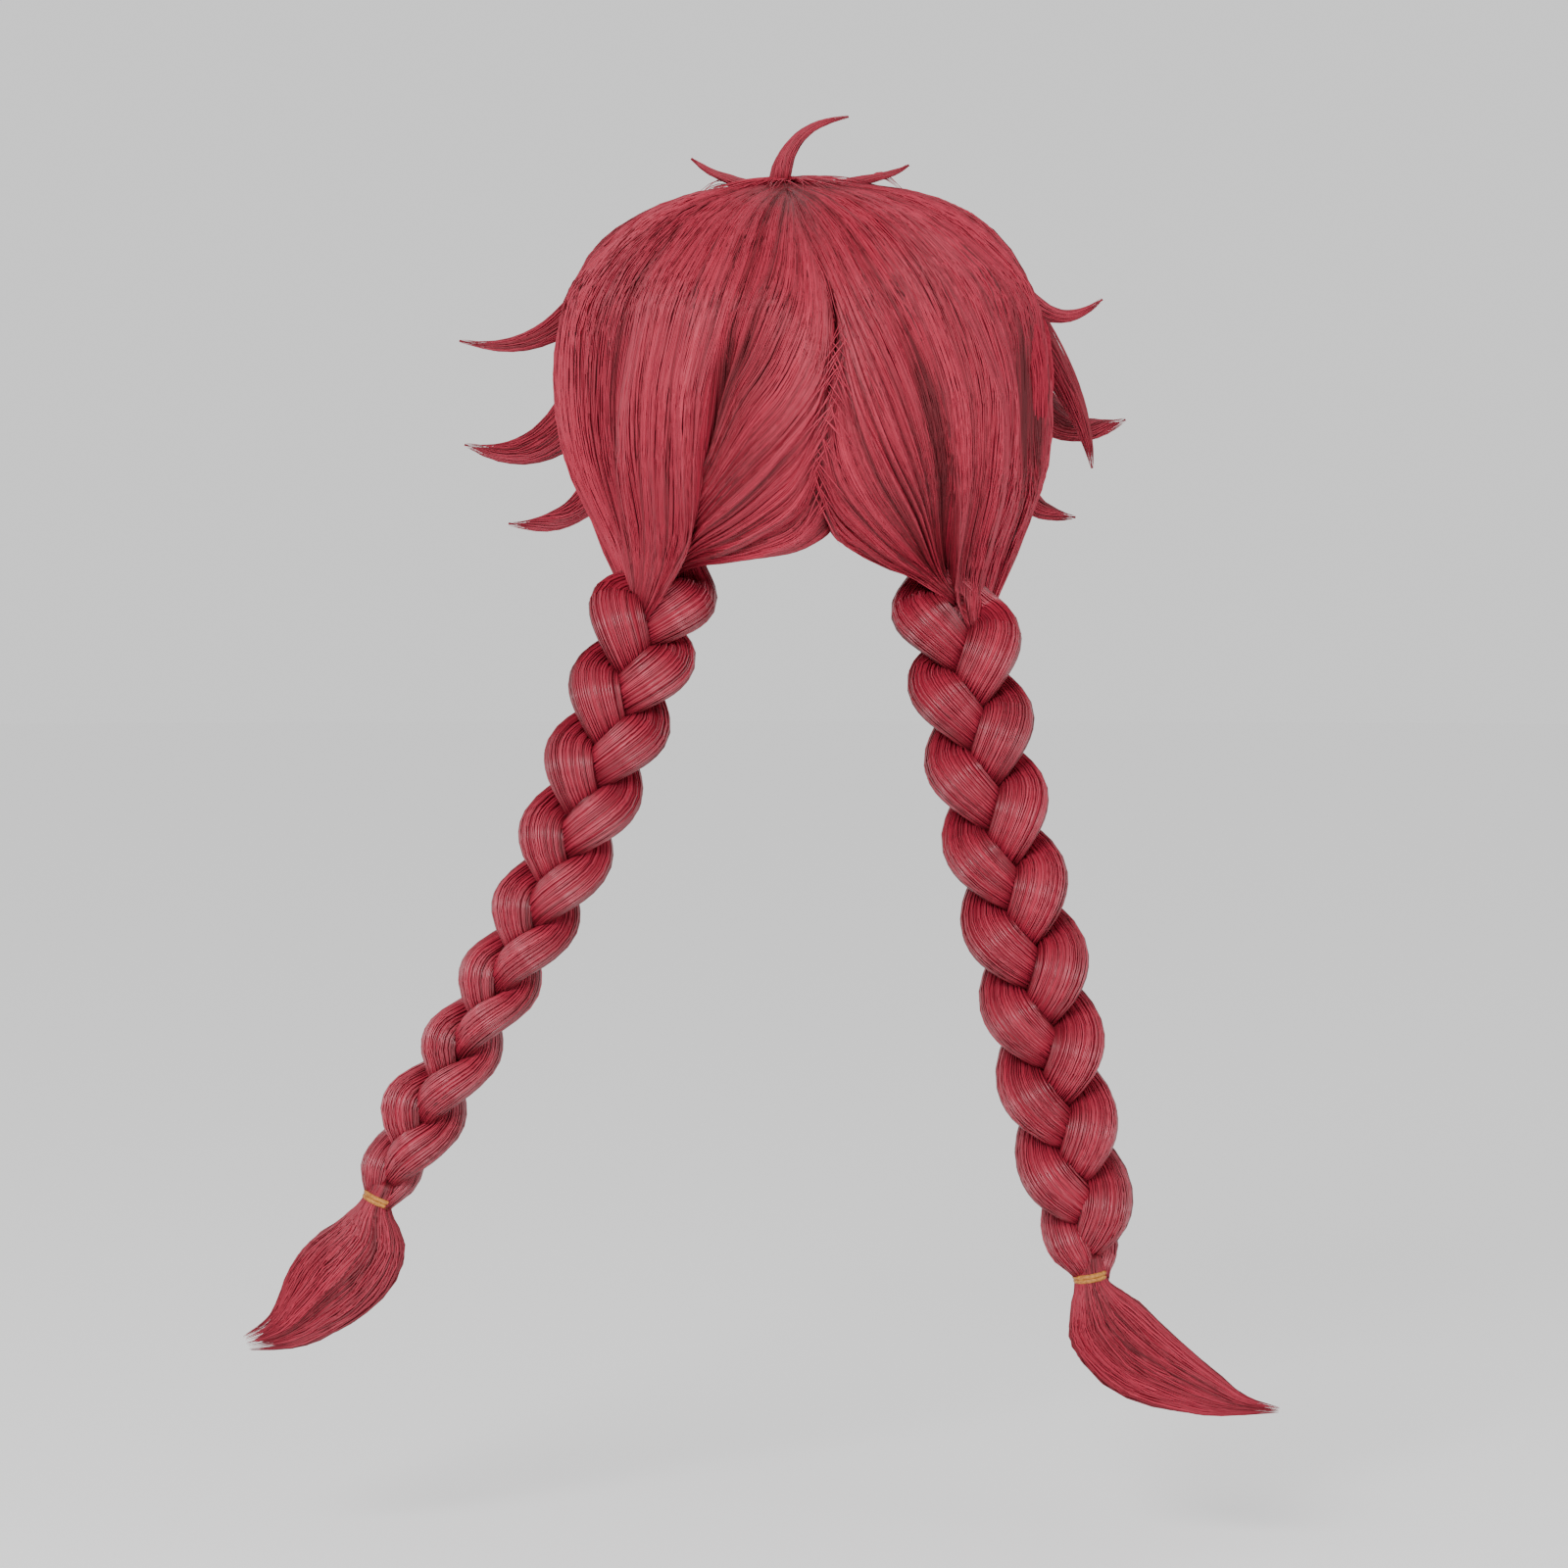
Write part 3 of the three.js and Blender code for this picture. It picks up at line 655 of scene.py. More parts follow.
def makeHalf(name, half, node):
    h = hairShare
    half["lines"] = guideLines(half)
    half["ridgeSize"] = dice.uniform(*h["ridgeSize"], h["ridges"] + 3)

    def place(q, far):
        top = q < h["outer"]
        u = np.where(top, q / h["outer"], (1 - q) / (1 - h["outer"]))
        s = far ** h["rootSteps"]
        thick = h["thick"] * ease(0, 0.08, s) * (1 - ease(0.75, 1, s))
        thick = thick * ease(0, 0.03, u) * (1 - ease(0.97, 1, u))
        return halfPoint(half, u, s, halfRelief(half, u, s) - h["bodyDepth"] - np.where(top, 0, thick))
    addMass(name, h, place, bodyHair, node)
    n, m = h["fibres"], h["steps"]
    u = (np.arange(n) + dice.random(n)) / n
    tones = halfTones(half, u)
    guide = u * (len(half["lines"]) - 1)
    inner = guide < half["fold"]
    valley = inner & (guide > half["fold"] - h["valley"])
    hollow = np.zeros(n, bool)
    for gap in half["gaps"]:
        hollow |= (guide > gap["at"]) & (guide < gap["at"] + gap["wide"] + h["hollow"])
    start = 0.05 * each(n) ** 2
    s = start + (0.92 + 0.08 * each(n) - start) * np.linspace(0, 1, m) ** h["rootSteps"]
    u = np.clip(u[:, None] + wander(n, m, 0.0022, 0.8), 0, 1)
    loose = 0.2 + 0.6 * each(n) + wander(n, m, 0.15)
    paths = halfPoint(half, u, s, halfRelief(half, u, s) + loose * ease(0, 0.1, s))
    radii = taperedRadii(n, m, h["radius"], 0.06, 0.1)
    # inner, valley and gap fibres take finishes that paint shade along their length
    parts = [
        ("Outer", ~inner & ~hollow, half["finish"]),
        ("Inner", inner & ~valley, innerFibre),
        ("Valley", valley, valleyFibre),
        ("Gap", hollow, gapFibre),
    ]
    for part, chosen, finish in parts:
        if chosen.any():
            addFibres(f"{name}{part}Fibres", finish, paths[chosen], radii[chosen], tones[chosen])


makeHalf("hairLeft", leftHair, "hair_left")
makeHalf("hairRight", rightHair, "hair_right")
print("stage: back and side hair made")


# Hair that runs from the whorl on to each half

crownHair = dict(
    whorl=(-10.5, 21), spread=4, fibres=180, steps=12, firstPlace=0.38, reach=(0.25, 0.5),
    # the crown's fibres are toned darker: painted shade
    radius=0.36, clumps=16, tone=-0.24, depth=-2.0, rise=0.9,
    # these hide the top of the parting
    over=[(-10, 20.5), (-5, -2), (4, -26), (12, -58)], overFibres=220, overSpread=26, overDepth=-4.2,
)


def makeCrown():
    k, m, sets = crownHair, crownHair["steps"], []
    t = np.linspace(0, 1, m)
    for half in (leftHair, rightHair):
        n = k["fibres"]
        u = k["firstPlace"] + (1 - k["firstPlace"]) * (np.arange(n) + dice.random(n)) / n
        s = (k["reach"][0] + (k["reach"][1] - k["reach"][0]) * each(n)) * t
        u = np.clip(u[:, None] + wander(n, m, 0.006, 1.0), 0, 1)
        on = halfPoint(half, u, s, halfRelief(half, u, s) + k["rise"] * np.sin(np.pi * t))
        spot = np.array(k["whorl"]) + k["spread"] * (dice.random((n, 2)) - 0.5)
        root = onForm(unit(behind(spot[:, 0], spot[:, 1])), k["depth"])
        mix = ease(0, 0.5, t)[:, None]
        sets.append(root[:, None, :] * (1 - mix) + on * mix)
    n = k["overFibres"]
    first = 0.5 * each(n) ** 2
    s = first + (0.4 + 0.6 * each(n) - first * 0.4) * (1 - first) * t
    spot = alongRows(k["over"], s)
    aside = k["overSpread"] * (each(n) + each(n) - 1) * (0.1 + s)
    x = spot[..., 0] + aside + wander(n, m, 0.4, 1.0)
    lift = k["overDepth"] + (2.2 + 0.8 * each(n)) * np.sin(np.pi * t) ** 0.5
    sets.append(onForm(unit(behind(x, spot[..., 1])), lift))
    paths = np.concatenate(sets)
    n = len(paths)
    radii = taperedRadii(n, m, k["radius"], 0.1, 0.3)
    tones = clumpTone(np.arange(n) / n, k["clumps"]) + k["tone"]
    addFibres("crownHair", fibreHair, paths, radii, tones)


makeCrown()
print("stage: crown hair made")


# Mass of hair under the outer layer, close to the cap

underHair = dict(
    outer=-10, inner=-19, crownFill=3.5, sides=132, rows=40, ridges=22, ridgeHeight=0.8,
    # the under layer's fibres are toned darker: painted shade under the outer hair
    fibres=300, steps=12, radius=0.40, clumps=40, tone=-0.2,
    rim=[-31, -31, -30, -27, -20, -10, 2, 10, 12],  # elevation of the rim, from the back to the front
)


def makeUnder():
    k = underHair

    def place(q, t):
        azimuth = 360 * q
        turn = np.minimum(azimuth, 360 - azimuth) / 180
        rim = alongRows(np.array(k["rim"], float)[:, None], turn)[..., 0]
        out = t < 0.5
        share = np.where(out, 2 * t, 2 - 2 * t)
        elevation = 90 + (rim - 90) * share
        fill = k["crownFill"] * (1 - ease(0.08, 0.24, share))
        lift = np.where(out, k["outer"] + fill, k["inner"])
        lift = lift + k["ridgeHeight"] * np.sin(np.radians(azimuth) * k["ridges"]) * ease(0.3, 0.6, share)
        return onForm(wayAt(azimuth, elevation), lift)
    addMass("hairUnder", k, place, bodyHair)
    n, m = k["fibres"], k["steps"]
    q = ((np.arange(n) + dice.random(n)) / n)[:, None] + wander(n, m, 0.002)
    t = 0.5 * np.linspace(0.1, 0.99, m) * np.ones((n, 1))
    paths = place(q, t) + 0.5 * wayAt(360 * q, 90 - 150 * t)
    radii = taperedRadii(n, m, k["radius"], 0.05, 0.1)
    tones = clumpTone(q[:, 0], k["clumps"]) + k["tone"]
    addFibres("hairUnderFibres", fibreHair, paths, radii, tones)


makeUnder()
print("stage: under hair made")


# Front hair and plain fringe: locks from the whorl over the brow and temples.
# bearing is from straight ahead towards the wearer's right, tip is its elevation, wide its half width.

lockKeys = ("bearing", "tip", "wide", "sweep", "drop")
frontLocks = [dict(zip(lockKeys, row)) for row in [
    (-100, -43, 13, 9, 5), (-88, -40, 16, 5, 6), (-76, -31, 15, 4, 7), (-65, -20, 14, 6, 8),
    (-55, -10, 14, 7, 9), (-44, -4, 15, 9, 10), (-32, -8, 13, 8, 10), (-21, -2, 15, 10, 11),
    (-10, -8, 13, 7, 10), (2, -3, 16, 9, 11), (14, -7, 13, 5, 10), (25, -1, 15, 7, 10),
    (36, -8, 14, 3, 10), (48, -5, 15, -4, 9), (60, -14, 14, -5, 8), (70, -24, 15, -5, 8),
    (80, -33, 15, -5, 7), (91, -41, 16, -6, 6), (103, -44, 13, -10, 5),
]]


frontShape = dict(points=80, whorl=-27, whorlTurn=40, depth=-4, layer=2.2, sideDepth=4, bow=3, thick=4.0)


def frontTube(lock, layer):
    f = frontShape
    b = 180 - lock["bearing"]
    sweep = lock["sweep"]
    root = f["whorl"] + f["whorlTurn"] * math.sin(math.radians(lock["bearing"]))
    ways = np.array([
        wayAt(root, 82), wayAt(b, 74), wayAt(b + 0.4 * sweep, 50), wayAt(b + 0.3 * sweep, 24),
        wayAt(b - 0.2 * sweep, 6 + 0.5 * lock["tip"]), wayAt(b - sweep, lock["tip"]),
    ])
    s = np.linspace(0, 1, f["points"])
    way = unit(alongRows(ways, s))
    lift = f["depth"] - f["layer"] * layer - f["sideDepth"] * ease(70, 100, abs(lock["bearing"]))
    lift = lift - lock["drop"] * ease(0.6, 1, s) + f["bow"] * np.sin(np.pi * ease(0.3, 1, s))
    closing = 1 - ease(0.6, 1.0, s)
    width = lock["wide"] * (0.28 + 0.72 * ease(0, 0.35, s)) * np.maximum(closing, 0.02) ** 0.7
    thick = f["thick"] * ease(-0.2, 0.35, s) * np.maximum(closing, 0.03) ** 0.6
    return tubeAlong(onForm(way, lift), way, width, thick, thick * 1.2)


def tubeRelief(count, amount, k=0.0):  # soft uneven ridges along a lock
    def relief(q, s):
        slow = np.sin(2 * np.pi * (1.4 * s + k))
        sway = 0.3 * slow + 0.15 * np.sin(2 * np.pi * (3.3 * s + 2 * q + 2.7 * k))
        broad = 1 - (2 * np.mod(q * count + sway, 1) - 1) ** 2
        narrow = 1 - (2 * np.mod(q * (2 * count + 1) - 2 * sway + k, 1) - 1) ** 2
        uneven = 0.6 + 0.4 * np.sin(2 * np.pi * (q + 0.9 * s + k))
        return amount * (0.7 * broad * uneven + 0.35 * narrow)
    return relief


def bundle(name, tubes, node, b):  # locks in one mass, with their fibres in another piece
    relief = tubeRelief(b["ridges"], b["ridgeHeight"])
    bm = bmesh.new()
    sets = []
    for k, tube in enumerate(tubes):
        def place(q, s):
            shut = np.maximum(np.sin(np.pi * np.clip(s, 0, 1)) ** 0.15, 0.02)
            ridges = relief(q, s) * ease(0, 0.05, s) * (1 - ease(0.9, 1, s))
            return onTube(tube, q, s, ridges - b["depth"] - b["sunk"] * (1 - ease(0.1, 0.4, s)), shut)
        rolled(bm, b["sides"], b["steps"], place, (k / len(tubes), (k + 1) / len(tubes)))
        sets.append(fibresOnTube(tube, relief, b, np.linspace(0, 1, b["fibreSteps"])))
    addPiece(name, closedMesh(name, bm), lockHair, "hair", node)
    addFibres(name + "Fibres", b["finish"], *(np.concatenate(part) for part in zip(*sets)))


frontBundle = dict(
    sides=24, steps=28, depth=0.6, sunk=1.2, ridges=5, ridgeHeight=0.8, finish=frontFibre,
    fibres=44, fibreSteps=17, radius=0.40, lift=0.5, ends=(0.94, 1.0), spread=(0.0, 0.5),
)


bundle("hairFront", [frontTube(lock, i % 2) for i, lock in enumerate(frontLocks)], "hair_front", frontBundle)
print("stage: front hair made")


# Plaits of three strands, in rows of x, y, z, half width and turn; a tail's rows end in half width and depth

plaitShare = dict(
    rootLength=85, looseRoot=1.2, rootRise=(12, 54), rootTuck=4, rootSize=0.5,
    curtainReach=34, curtainRoot=0.35, swing=0.64, depth=0.42, width=0.30, wider=0.16,
    fullest=120, fuller=0.35, fullEnd=(-85, -8), thick=0.25, bulge=0.5,
    points=420, sides=24, rows=120, ridges=4, ridgeHeight=0.5, ridgeTurn=0.31, sunk=0.3,
    # the fibres are painted darker at each strand's sides: painted shade
    fibres=104, fibreSteps=80, radius=0.40, lift=0.5, ends=(0.985, 0.995), edge=0.40, loose=0.20, tone=0.02,
    taper=(0.03, 0.03),
)
leftPlait = dict(
    wave=103, endPhase=117, curtain=2, curtainFrom=34,
    rows=[(-56, -50, -126, 22.0, 0), (-62, -47, -146, 25.0, 0), (-77, -60, -191, 24.0, 0),
          (-98, -74, -251, 22.0, 8), (-120, -80, -304, 19.0, 24), (-146, -82, -352, 16.5, 35),
          (-175, -80, -402, 17.0, 35), (-187, -79, -424, 12.0, 30), (-193, -78.5, -435.6, 7.0, 30),
          (-196.5, -78.3, -442.5, 5.2, 30)],
    tail=[(-189.6, -78.8, -428.5, 5.0, 5.0), (-193.3, -78.5, -436.2, 6.4, 6.4),
          (-195.8, -78.3, -441.8, 7.0, 6.8), (-196.8, -78.6, -448.5, 11.5, 9),
          (-198.5, -79, -457, 16.2, 10.5), (-206.4, -80.5, -468, 19.2, 11),
          (-216, -81.5, -478, 18.4, 10.5), (-225, -82.3, -486.5, 15, 8.5), (-232.5, -82.8, -493.5, 11, 6),
          (-241, -83, -499, 7.5, 4), (-254, -83, -503, 3.5, 2)],
)
rightPlait = dict(
    wave=110, endPhase=116, curtain=0, curtainFrom=43,
    rows=[(57, -50, -126, 22.0, 0), (61, -47, -146, 25.0, 0), (70, -60, -198, 24.5, 0),
          (84, -76, -270, 23.5, 0), (101, -83, -339, 24.0, 0), (114, -84, -404, 22.5, 0),
          (123, -82, -440, 18.5, 0), (125.2, -81, -458, 14.0, 0), (126, -80.3, -469.6, 7.4, 0),
          (127, -79.9, -477.5, 5.6, 0)],
    tail=[(125.4, -80.8, -461.5, 5.4, 5.4), (126.1, -80.2, -470.5, 6.8, 6.8),
          (127.2, -80, -477, 7.4, 7.0), (129.2, -80.5, -484, 11.0, 9), (133.6, -81, -494.6, 16.6, 11),
          (146.6, -83, -508, 17.2, 11), (162.4, -84, -517.4, 14, 9), (180.8, -85, -525.8, 8.5, 5.5),
          (195, -85, -531, 4.2, 3), (212, -85, -533, 1.2, 1)],
)


def strandTube(plait, k):
    p = plaitShare
    fine = alongRows(plait["rows"], np.linspace(0, 1, 600))
    far = np.concatenate([[0], np.cumsum(np.linalg.norm(np.diff(fine[:, :3], axis=0), axis=1))])
    even = np.linspace(0, far[-1], p["points"])
    row = np.stack([np.interp(even, far, fine[:, c]) for c in range(5)], -1)
    half = row[:, 3] * (1 + (p["looseRoot"] - 1) * (1 - ease(0, p["rootLength"], even)))
    shown = even >= 0
    spread = np.ones(len(even))
    rise = ease(*p["rootRise"], even)
    if k == plait["curtain"]:  # the curtain of hair drawn together, which dives between the other two
        shown = even >= plait["curtainFrom"]
        spread = ease(0, p["curtainReach"], even - plait["curtainFrom"])
        rise = np.ones(len(even))
        half = row[:, 3] * (p["curtainRoot"] + (1 - p["curtainRoot"]) * spread)
    half = half * (p["rootSize"] + (1 - p["rootSize"]) * rise)
    turn = np.radians(row[:, 4])[:, None]
    line = tubeAlong(row[:, :3], (0, -1, 0), 1, 1, 1)
    wide = line["wide"] * np.cos(turn) + line["deep"] * np.sin(turn)
    deep = line["deep"] * np.cos(turn) - line["wide"] * np.sin(turn)
    phase = np.radians(plait["endPhase"]) + 2 * np.pi * ((even - far[-1]) / plait["wave"] + k / 3)
    onTop = -np.sin(2 * phase)
    aside = half * spread * p["swing"] * np.sin(phase)
    out = half * spread * p["depth"] * onTop * rise - p["rootTuck"] * (1 - rise)
    centre = row[:, :3] + wide * aside[:, None] + deep * out[:, None]
    # plump as it crosses over, slim as it dives
    lobe = 0.5 + 0.5 * np.cos(2 * (phase - math.radians(p["fullest"])))
    nearEnd = ease(*p["fullEnd"], even - far[-1])
    width = half * (p["width"] + p["wider"] * lobe) * (1 + p["fuller"] * nearEnd)
    top = half * p["thick"] * (1 + p["bulge"] * np.maximum(onTop, 0))
    under = half * p["thick"] * (1 + p["bulge"] * np.maximum(-onTop, 0))
    return tubeAlong(centre[shown], deep[shown], width[shown], top[shown], under[shown])


def makePlait(side, plait, name):
    p = plaitShare
    sets = []
    for k in range(3):
        tube = strandTube(plait, k)
        relief = tubeRelief(p["ridges"], p["ridgeHeight"], p["ridgeTurn"] * k)

        def place(q, far):
            places = closerAtBends(tube, p["rows"] + 1)
            s = np.interp(far, np.linspace(0, 1, len(places)), places)
            shut = np.maximum(ease(-0.001, 0.01, s) * (1 - ease(0.985, 1, s)), 0.02)
            return onTube(tube, q, s, relief(q, s) * shut - p["sunk"], shut)
        addMass(f"{name}Strand{k + 1}", p, place, plaitHair, f"plait_{side}_strand_{k + 1}")
        sets.append(fibresOnTube(tube, relief, p, closerAtBends(tube, p["fibreSteps"])))
    addFibres(name + "Fibres", plaitFibre, *(np.concatenate(part) for part in zip(*sets)))


makePlait("left", leftPlait, "plaitLeft")
makePlait("right", rightPlait, "plaitRight")
print("stage: plaits made")


# Tails below the ties: a brush of fibres that ends raggedly

tailBrush = dict(
    points=120, sides=48, rows=44, core=0.94, ragged=0.08, slow=14, locks=5, lockDepth=1.8, lockTurn=0.2,
    fibres=380, steps=17, radius=0.38, clumps=5, loose=0.4, edge=0.2, lockShading=0.5,
)


def makeTail(side, plait, name):
    b = tailBrush
    rows = alongRows(plait["tail"], np.linspace(0, 1, b["points"]))
    tube = tubeAlong(rows[:, :3], (0, -1, 0), rows[:, 3], rows[:, 4], rows[:, 4])
    apart = np.subtract.outer(np.arange(len(rows)), np.arange(len(rows)))
    near = np.exp(-apart ** 2 / (2 * b["slow"] ** 2))
    tube["wide"] = unit(near @ tube["wide"])  # turns slowly where the tail bends
    relief = tubeRelief(b["locks"], b["lockDepth"], b["lockTurn"])

    def place(q, s):
        waves = 0.5 + 0.3 * np.sin(2 * np.pi * (5 * q + 0.2)) + 0.2 * np.sin(2 * np.pi * (13 * q + 0.6))
        ragged = 1 - b["ragged"] * waves
        core = b["core"] * np.maximum(1 - ease(0.86, 1, s), 0.02) * np.maximum(ease(-0.02, 0.02, s), 0.02)
        lift = relief(q, s) * ease(0.15, 0.4, s) * (1 - ease(0.75, 0.95, s))
        return onTube(tube, q, s * ragged, lift, core)
    addMass(name, b, place, lockHair, f"tail_{side}")
    n, m = b["fibres"], b["steps"]
    q = (np.arange(n) + dice.random(n)) / n
    # painted shade: darker at the tail's sides and in the grooves between its locks, lighter on their backs
    tones = clumpTone(q, b["clumps"], b["loose"]) - b["edge"] * (1 - np.abs(np.sin(2 * np.pi * q)))
    tones = tones + b["lockShading"] * (relief(q, 0.4) / b["lockDepth"] - 0.55)
    q = q[:, None] + wander(n, m, 0.008)
    fill = 0.93 + 0.1 * each(n)
    s = np.linspace(0, 1, m) * (0.88 + 0.12 * each(n))
    lift = (relief(q, s) * (1 - ease(0.75, 0.95, s)) + wander(n, m, 0.12)) * ease(0.15, 0.4, s)
    radii = taperedRadii(n, m, b["radius"], 0.04, 0.2)
    addFibres(name + "Fibres", fibreHair, onTube(tube, q, s, lift, fill), radii, tones)


makeTail("left", leftPlait, "tailLeft")
makeTail("right", rightPlait, "tailRight")
print("stage: tails made")


# Loose locks: root, two handles and tip, half width and thickness, and how full they stay towards the tip

looseLocks = [
    dict(name="flickLeftUpper", node="flick_left_upper", wide=13, thick=9, fall=1.3,
         curve=[(-80, 2, -8), (-107, 8, -36), (-122, 14, -60), (-162, 18, -50)]),
    dict(name="flickLeftMiddle", node="flick_left_middle", wide=15, thick=12, fall=1.8,
         curve=[(-90, 26, -54), (-108, 30, -92), (-128, 36, -110), (-161, 42, -98)]),
    dict(name="flickLeftLower", node="flick_left_lower", wide=11, thick=7.5, fall=1.4,
         curve=[(-90, 40, -98), (-100, 44, -125), (-112, 48, -138), (-141, 52, -135)]),
    dict(name="flickRightUpper", node="flick_right_upper", wide=10, thick=6, fall=1.1,
         curve=[(82, 0, -12), (105, 6, -40), (117, 10, -46), (136, 12, -31)]),
    dict(name="flickRightFront", node="flick_right_front", wide=14, thick=8, fall=1.6,
         curve=[(92, 24, -26), (113, 32, -56), (129, 40, -80), (133, 42, -109)]),
    dict(name="flickRightMiddle", node="flick_right_middle", wide=14, thick=10, fall=1.5,
         curve=[(94, 46, -56), (108, 58, -90), (128, 63, -97), (150, 66, -86)]),
    dict(name="flickRightLower", node="flick_right_lower", wide=10, thick=7.5, fall=1.3,
         curve=[(90, 48, -98), (98, 52, -122), (106, 54, -132), (126, 56, -132)]),
    dict(name="crownSprig", node="crown_sprig", wide=10.5, thick=5, fall=0.8,
         curve=[(-14, -24, 14), (-13, -26, 36), (-4, -28, 48), (18, -30, 50.5)]),
    dict(name="crownWispLeft", node="crown_wisp_left", wide=5, thick=2, fall=1.2,
         curve=[(-22, -10, 18), (-36, -8, 24), (-44, -6, 24.5), (-54, -4, 33)]),
    dict(name="crownWispRight", node="crown_wisp_right", wide=5, thick=2, fall=1.2,
         curve=[(10, -10, 19), (26, -8, 24), (36, -6, 23.5), (46, -4, 30)]),
]


lockBundle = dict(
    points=60, sides=20, steps=26, depth=0.6, sunk=0.0, ridges=3, ridgeHeight=0.5, finish=fibreHair,
    fibres=60, fibreSteps=15, radius=0.34, lift=0.3, ends=(0.95, 1.0),
)


def makeLock(lock):
    s = np.linspace(0, 1, lockBundle["points"])
    outwards = unit(np.array(lock["curve"][0]) - np.array((0, 0, hairForm["middle"])))
    taper = np.maximum(1 - s ** lock["fall"], 0.03) * (0.5 + 0.5 * ease(0, 0.25, s))
    deep = lock["thick"] * taper
    tube = tubeAlong(bezier(lock["curve"], s), outwards, lock["wide"] * taper, deep, deep)
    bundle(lock["name"], [tube], lock["node"], lockBundle)


for lock in looseLocks:
    makeLock(lock)
print("stage: loose locks made")


# Short loose hairs: around the whorl, across the parting and standing off the crown

strayHairs = dict(
    whorl=(-10, -26), whorlCount=150, whorlReach=(14, 46),
    parting=[(13, -50), (11, -74), (7, -92), (3, -109), (6, -126)], partingCount=90, partingReach=(10, 30),
    arcs=[(-50, -4, 8), (-74, 8, -10), (40, -6, 12), (66, 4, -4)], arcHairs=5, steps=9, radius=0.30,
)


# Lies on the form between two places seen from behind, lifted in the middle
def hairFromTo(start, end, lift, m):
    s = np.linspace(0, 1, m)[:, None]
    places = np.asarray(start) * (1 - s) + np.asarray(end) * s
    bow = lift * np.sin(np.pi * s[:, 0] * 0.8 + 0.3)
    return onForm(unit(behind(places[:, 0], places[:, 1])), bow)


def drawBetween(low, high):
    return low + (high - low) * dice.random()


def makeStrays():
    f, k, paths = hairForm, strayHairs, []
    m, power = k["steps"], f["crownPower"]
    s = np.linspace(0, 1, m)[:, None]
    for _ in range(k["whorlCount"]):  # seen from above
        turn = 2 * np.pi * dice.random()
        reach = drawBetween(*k["whorlReach"])
        spot = np.array(k["whorl"]) + 9 * (dice.random(2) - 0.5)
        way = np.array([np.cos(turn), np.sin(turn)])
        bend = np.array([-way[1], way[0]]) * reach * 0.5 * (dice.random() - 0.4)
        flat = spot + way * reach * s + bend * s ** 2
        ahead = flat[:, 1] / np.where(flat[:, 1] < 0, f["back"], f["front"])
        radius = np.clip(np.hypot(flat[:, 0] / f["side"], ahead), 1e-3, 0.98)
        height = f["middle"] + f["rise"] * (1 - radius ** power) ** (1 / power)
        bow = 2.4 * np.sin(np.pi * (0.15 + 0.8 * s[:, 0])) * dice.random()
        paths.append(np.column_stack([flat, height - 1.5 + bow]))
    for _ in range(k["partingCount"]):
        spot = alongRows(k["parting"], np.array(dice.random()))
        side = 1 if dice.random() < 0.5 else -1
        reach = drawBetween(*k["partingReach"])
        start = spot + np.array([-side * 5 * dice.random(), 8 * dice.random()])
        end = spot + reach * np.array([side * (0.2 + 0.5 * dice.random()), -0.8])
        paths.append(hairFromTo(start, end, 1.0 + 1.2 * dice.random(), m))
    for arc in np.array(k["arcs"], float):
        for _ in range(k["arcHairs"]):
            inner = arc * (0.45 + 0.1 * dice.random()) + np.array([0, 0, 12])
            outer = arc * (1.12 + 0.1 * dice.random())
            middle = (inner + outer) / 2 + np.array([0, 0, 10 + 5 * dice.random()])
            paths.append(bezier([inner, middle, middle, outer], s[:, 0]))
    n = len(paths)
    radii = taperedRadii(n, m, k["radius"], 0.2, 0.5)
    addFibres("strayHairs", fibreHair, np.array(paths), radii, 0.35 + 0.5 * dice.random(n))


makeStrays()
print("stage: stray hairs made")


# Elastic ties: rounds of covered elastic side by side

tieBand = dict(
    radius=1.15, rounds=2, pitch=1.9, clear=-0.2, uneven=0.25, sides=14, steps=48, place=0.4, weld=1e-6,
)


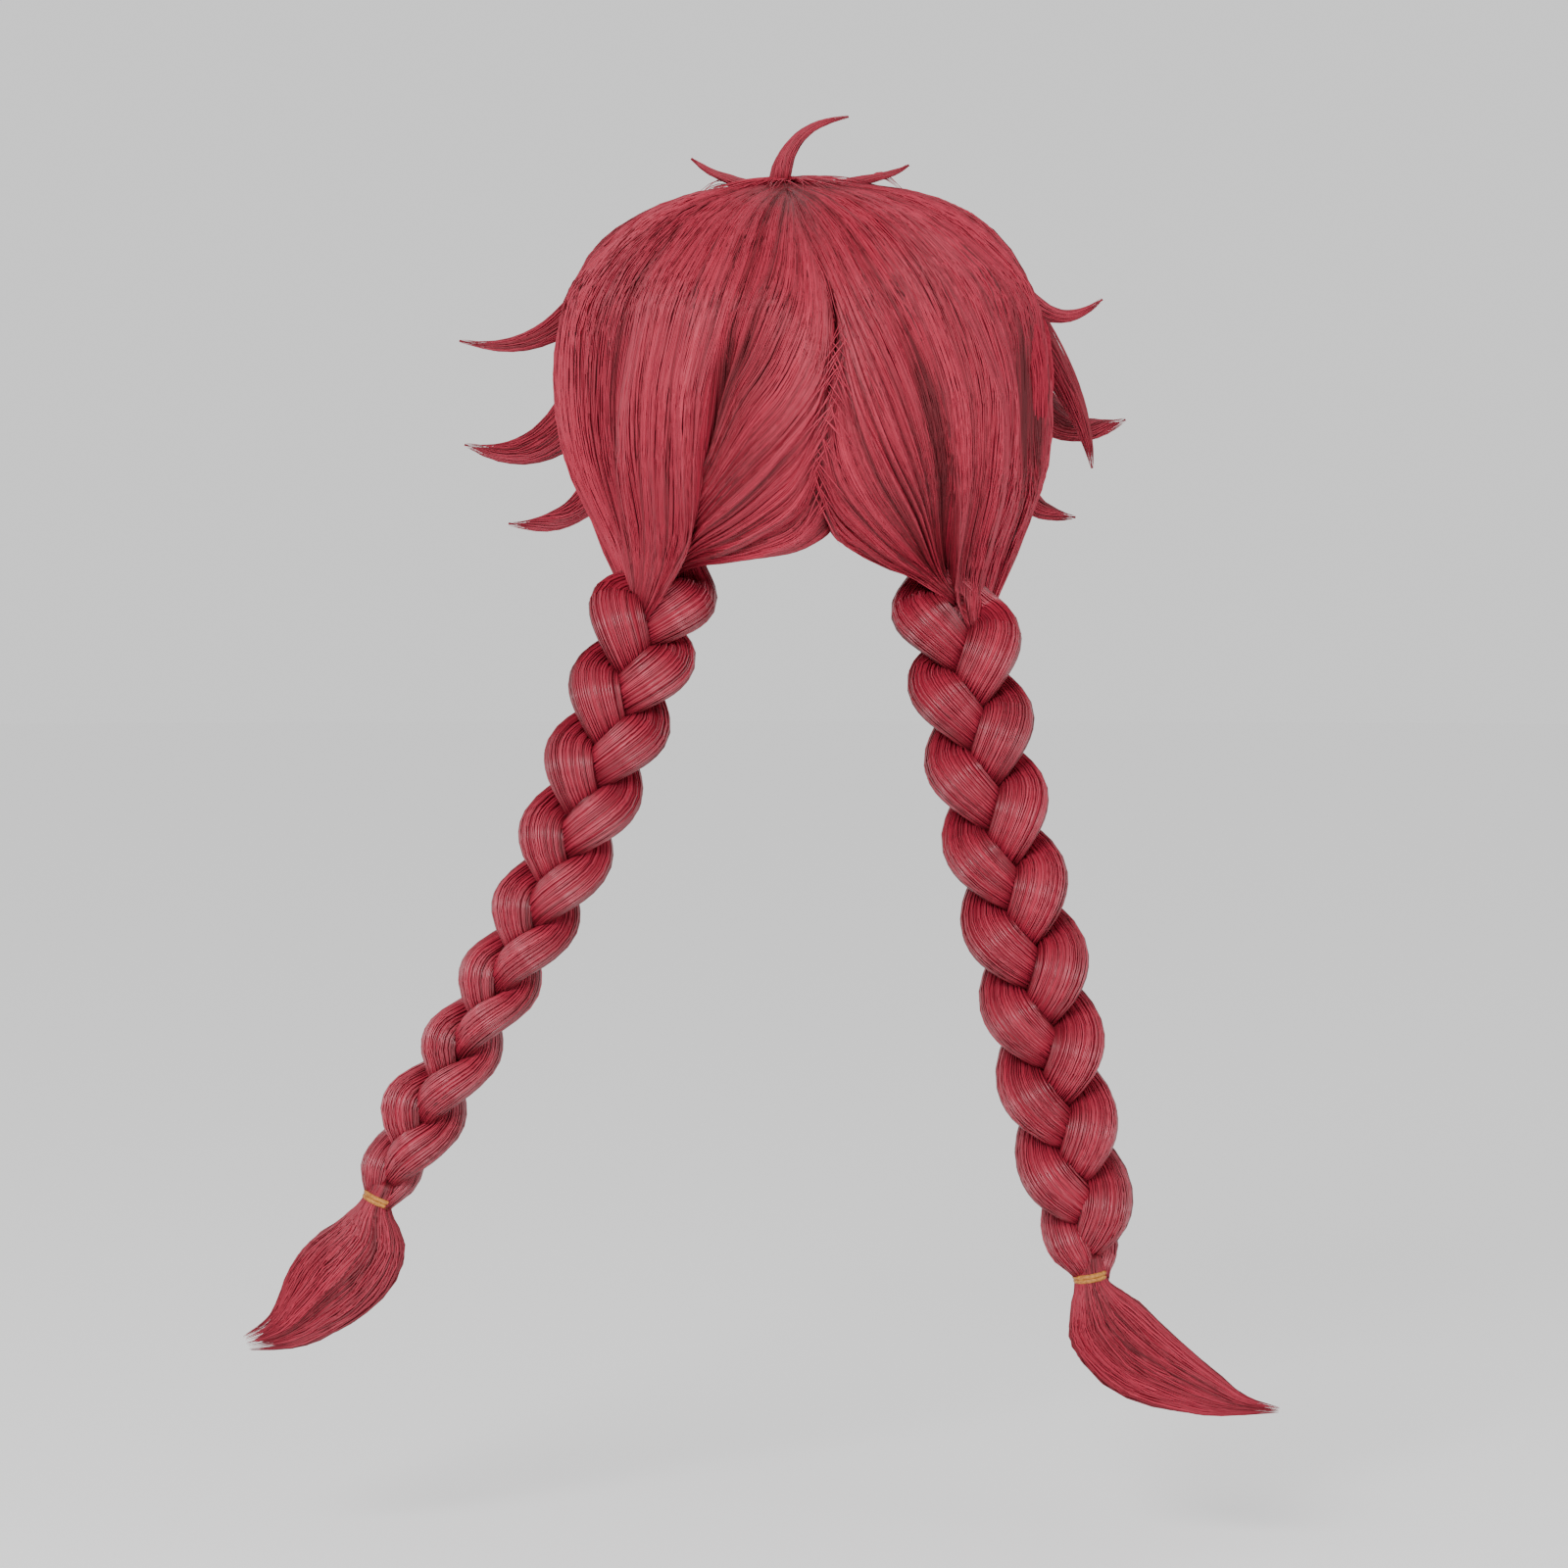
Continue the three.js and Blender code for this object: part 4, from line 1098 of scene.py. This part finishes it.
def makeTie(side, plait, name):
    b, centre = tieBand, (0, 0, 0)
    neck = np.array(plait["tail"][1][:3]), np.array(plait["tail"][2][:3])
    turn = Vector((0, 0, 1)).rotation_difference(Vector(unit(neck[1] - neck[0])))
    upright = Matrix.Rotation(math.pi / 2, 3, "X")
    bm = bmesh.new()
    bm.loops.layers.uv.new("flow")
    for k in range(b["rounds"]):
        start = bm.verts[:]
        bmesh.ops.create_circle(bm, segments=b["sides"], radius=b["radius"] * mm)
        ring = [v for v in bm.verts if v not in start]
        edges = [e for e in bm.edges if e.verts[0] in ring]
        bmesh.ops.rotate(bm, verts=ring, cent=centre, matrix=upright)
        out = plait["tail"][1][3] + b["clear"] + b["uneven"] * math.sin(2.1 * k + 1)
        level = (k - (b["rounds"] - 1) / 2) * b["pitch"]
        bmesh.ops.translate(bm, verts=ring, vec=(out * mm, 0, level * mm))
        bmesh.ops.spin(bm, geom=ring + edges, cent=centre, axis=(0, 0, 1), angle=2 * math.pi,
                       steps=b["steps"], use_merge=True)
    bmesh.ops.remove_doubles(bm, verts=bm.verts, dist=b["weld"])
    bmesh.ops.rotate(bm, verts=bm.verts, cent=centre, matrix=turn.to_matrix())
    middle = Vector(neck[0] + b["place"] * (neck[1] - neck[0])) * mm
    bmesh.ops.translate(bm, verts=bm.verts, vec=middle)
    addPiece(name, closedMesh(name, bm), tieElastic, "tie", f"tie_{side}")


def elasticFinish(name):
    finish, shader, at = newFinish(name, 0.48, 0.4)
    where = at.node("ShaderNodeTexCoord", output="Object")
    weave = at.node("ShaderNodeTexNoise", {}, {"Vector": where, "Scale": 900.0, "Detail": 2.0})
    stops = [(0.3, (0.24, 0.085, 0.014)), (0.7, (0.52, 0.225, 0.042))]
    linkTo(shader, "Base Color", at.node("ShaderNodeValToRGB", {"stops": stops}, {"Fac": weave}))
    addBump(shader, at, weave, 0.5, 0.0004)
    return finish


tieElastic = elasticFinish("tieElastic")
makeTie("left", leftPlait, "tieLeft")
makeTie("right", rightPlait, "tieRight")
print("stage: ties made")


# Net of the cap: fine mesh of dark thread

def netFinish(name):
    finish, shader, at = newFinish(name, 0.85, 0.3)
    where = at.node("ShaderNodeTexCoord", output="Object")
    inputs = {"Vector": where, "Scale": 420.0}
    holes = at.node("ShaderNodeTexVoronoi", {"feature": "DISTANCE_TO_EDGE"}, inputs)
    stops = [(0.04, (0.16, 0.035, 0.04)), (0.16, (0.03, 0.006, 0.008))]
    linkTo(shader, "Base Color", at.node("ShaderNodeValToRGB", {"stops": stops}, {"Fac": holes}))
    addBump(shader, at, 1 - holes, 0.5, 0.0005)
    return finish


capNet = netFinish("capNet")
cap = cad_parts["wig_cap"]
cap.data.materials.clear()
cap.data.materials.append(capNet)
print("stage: cap finished")
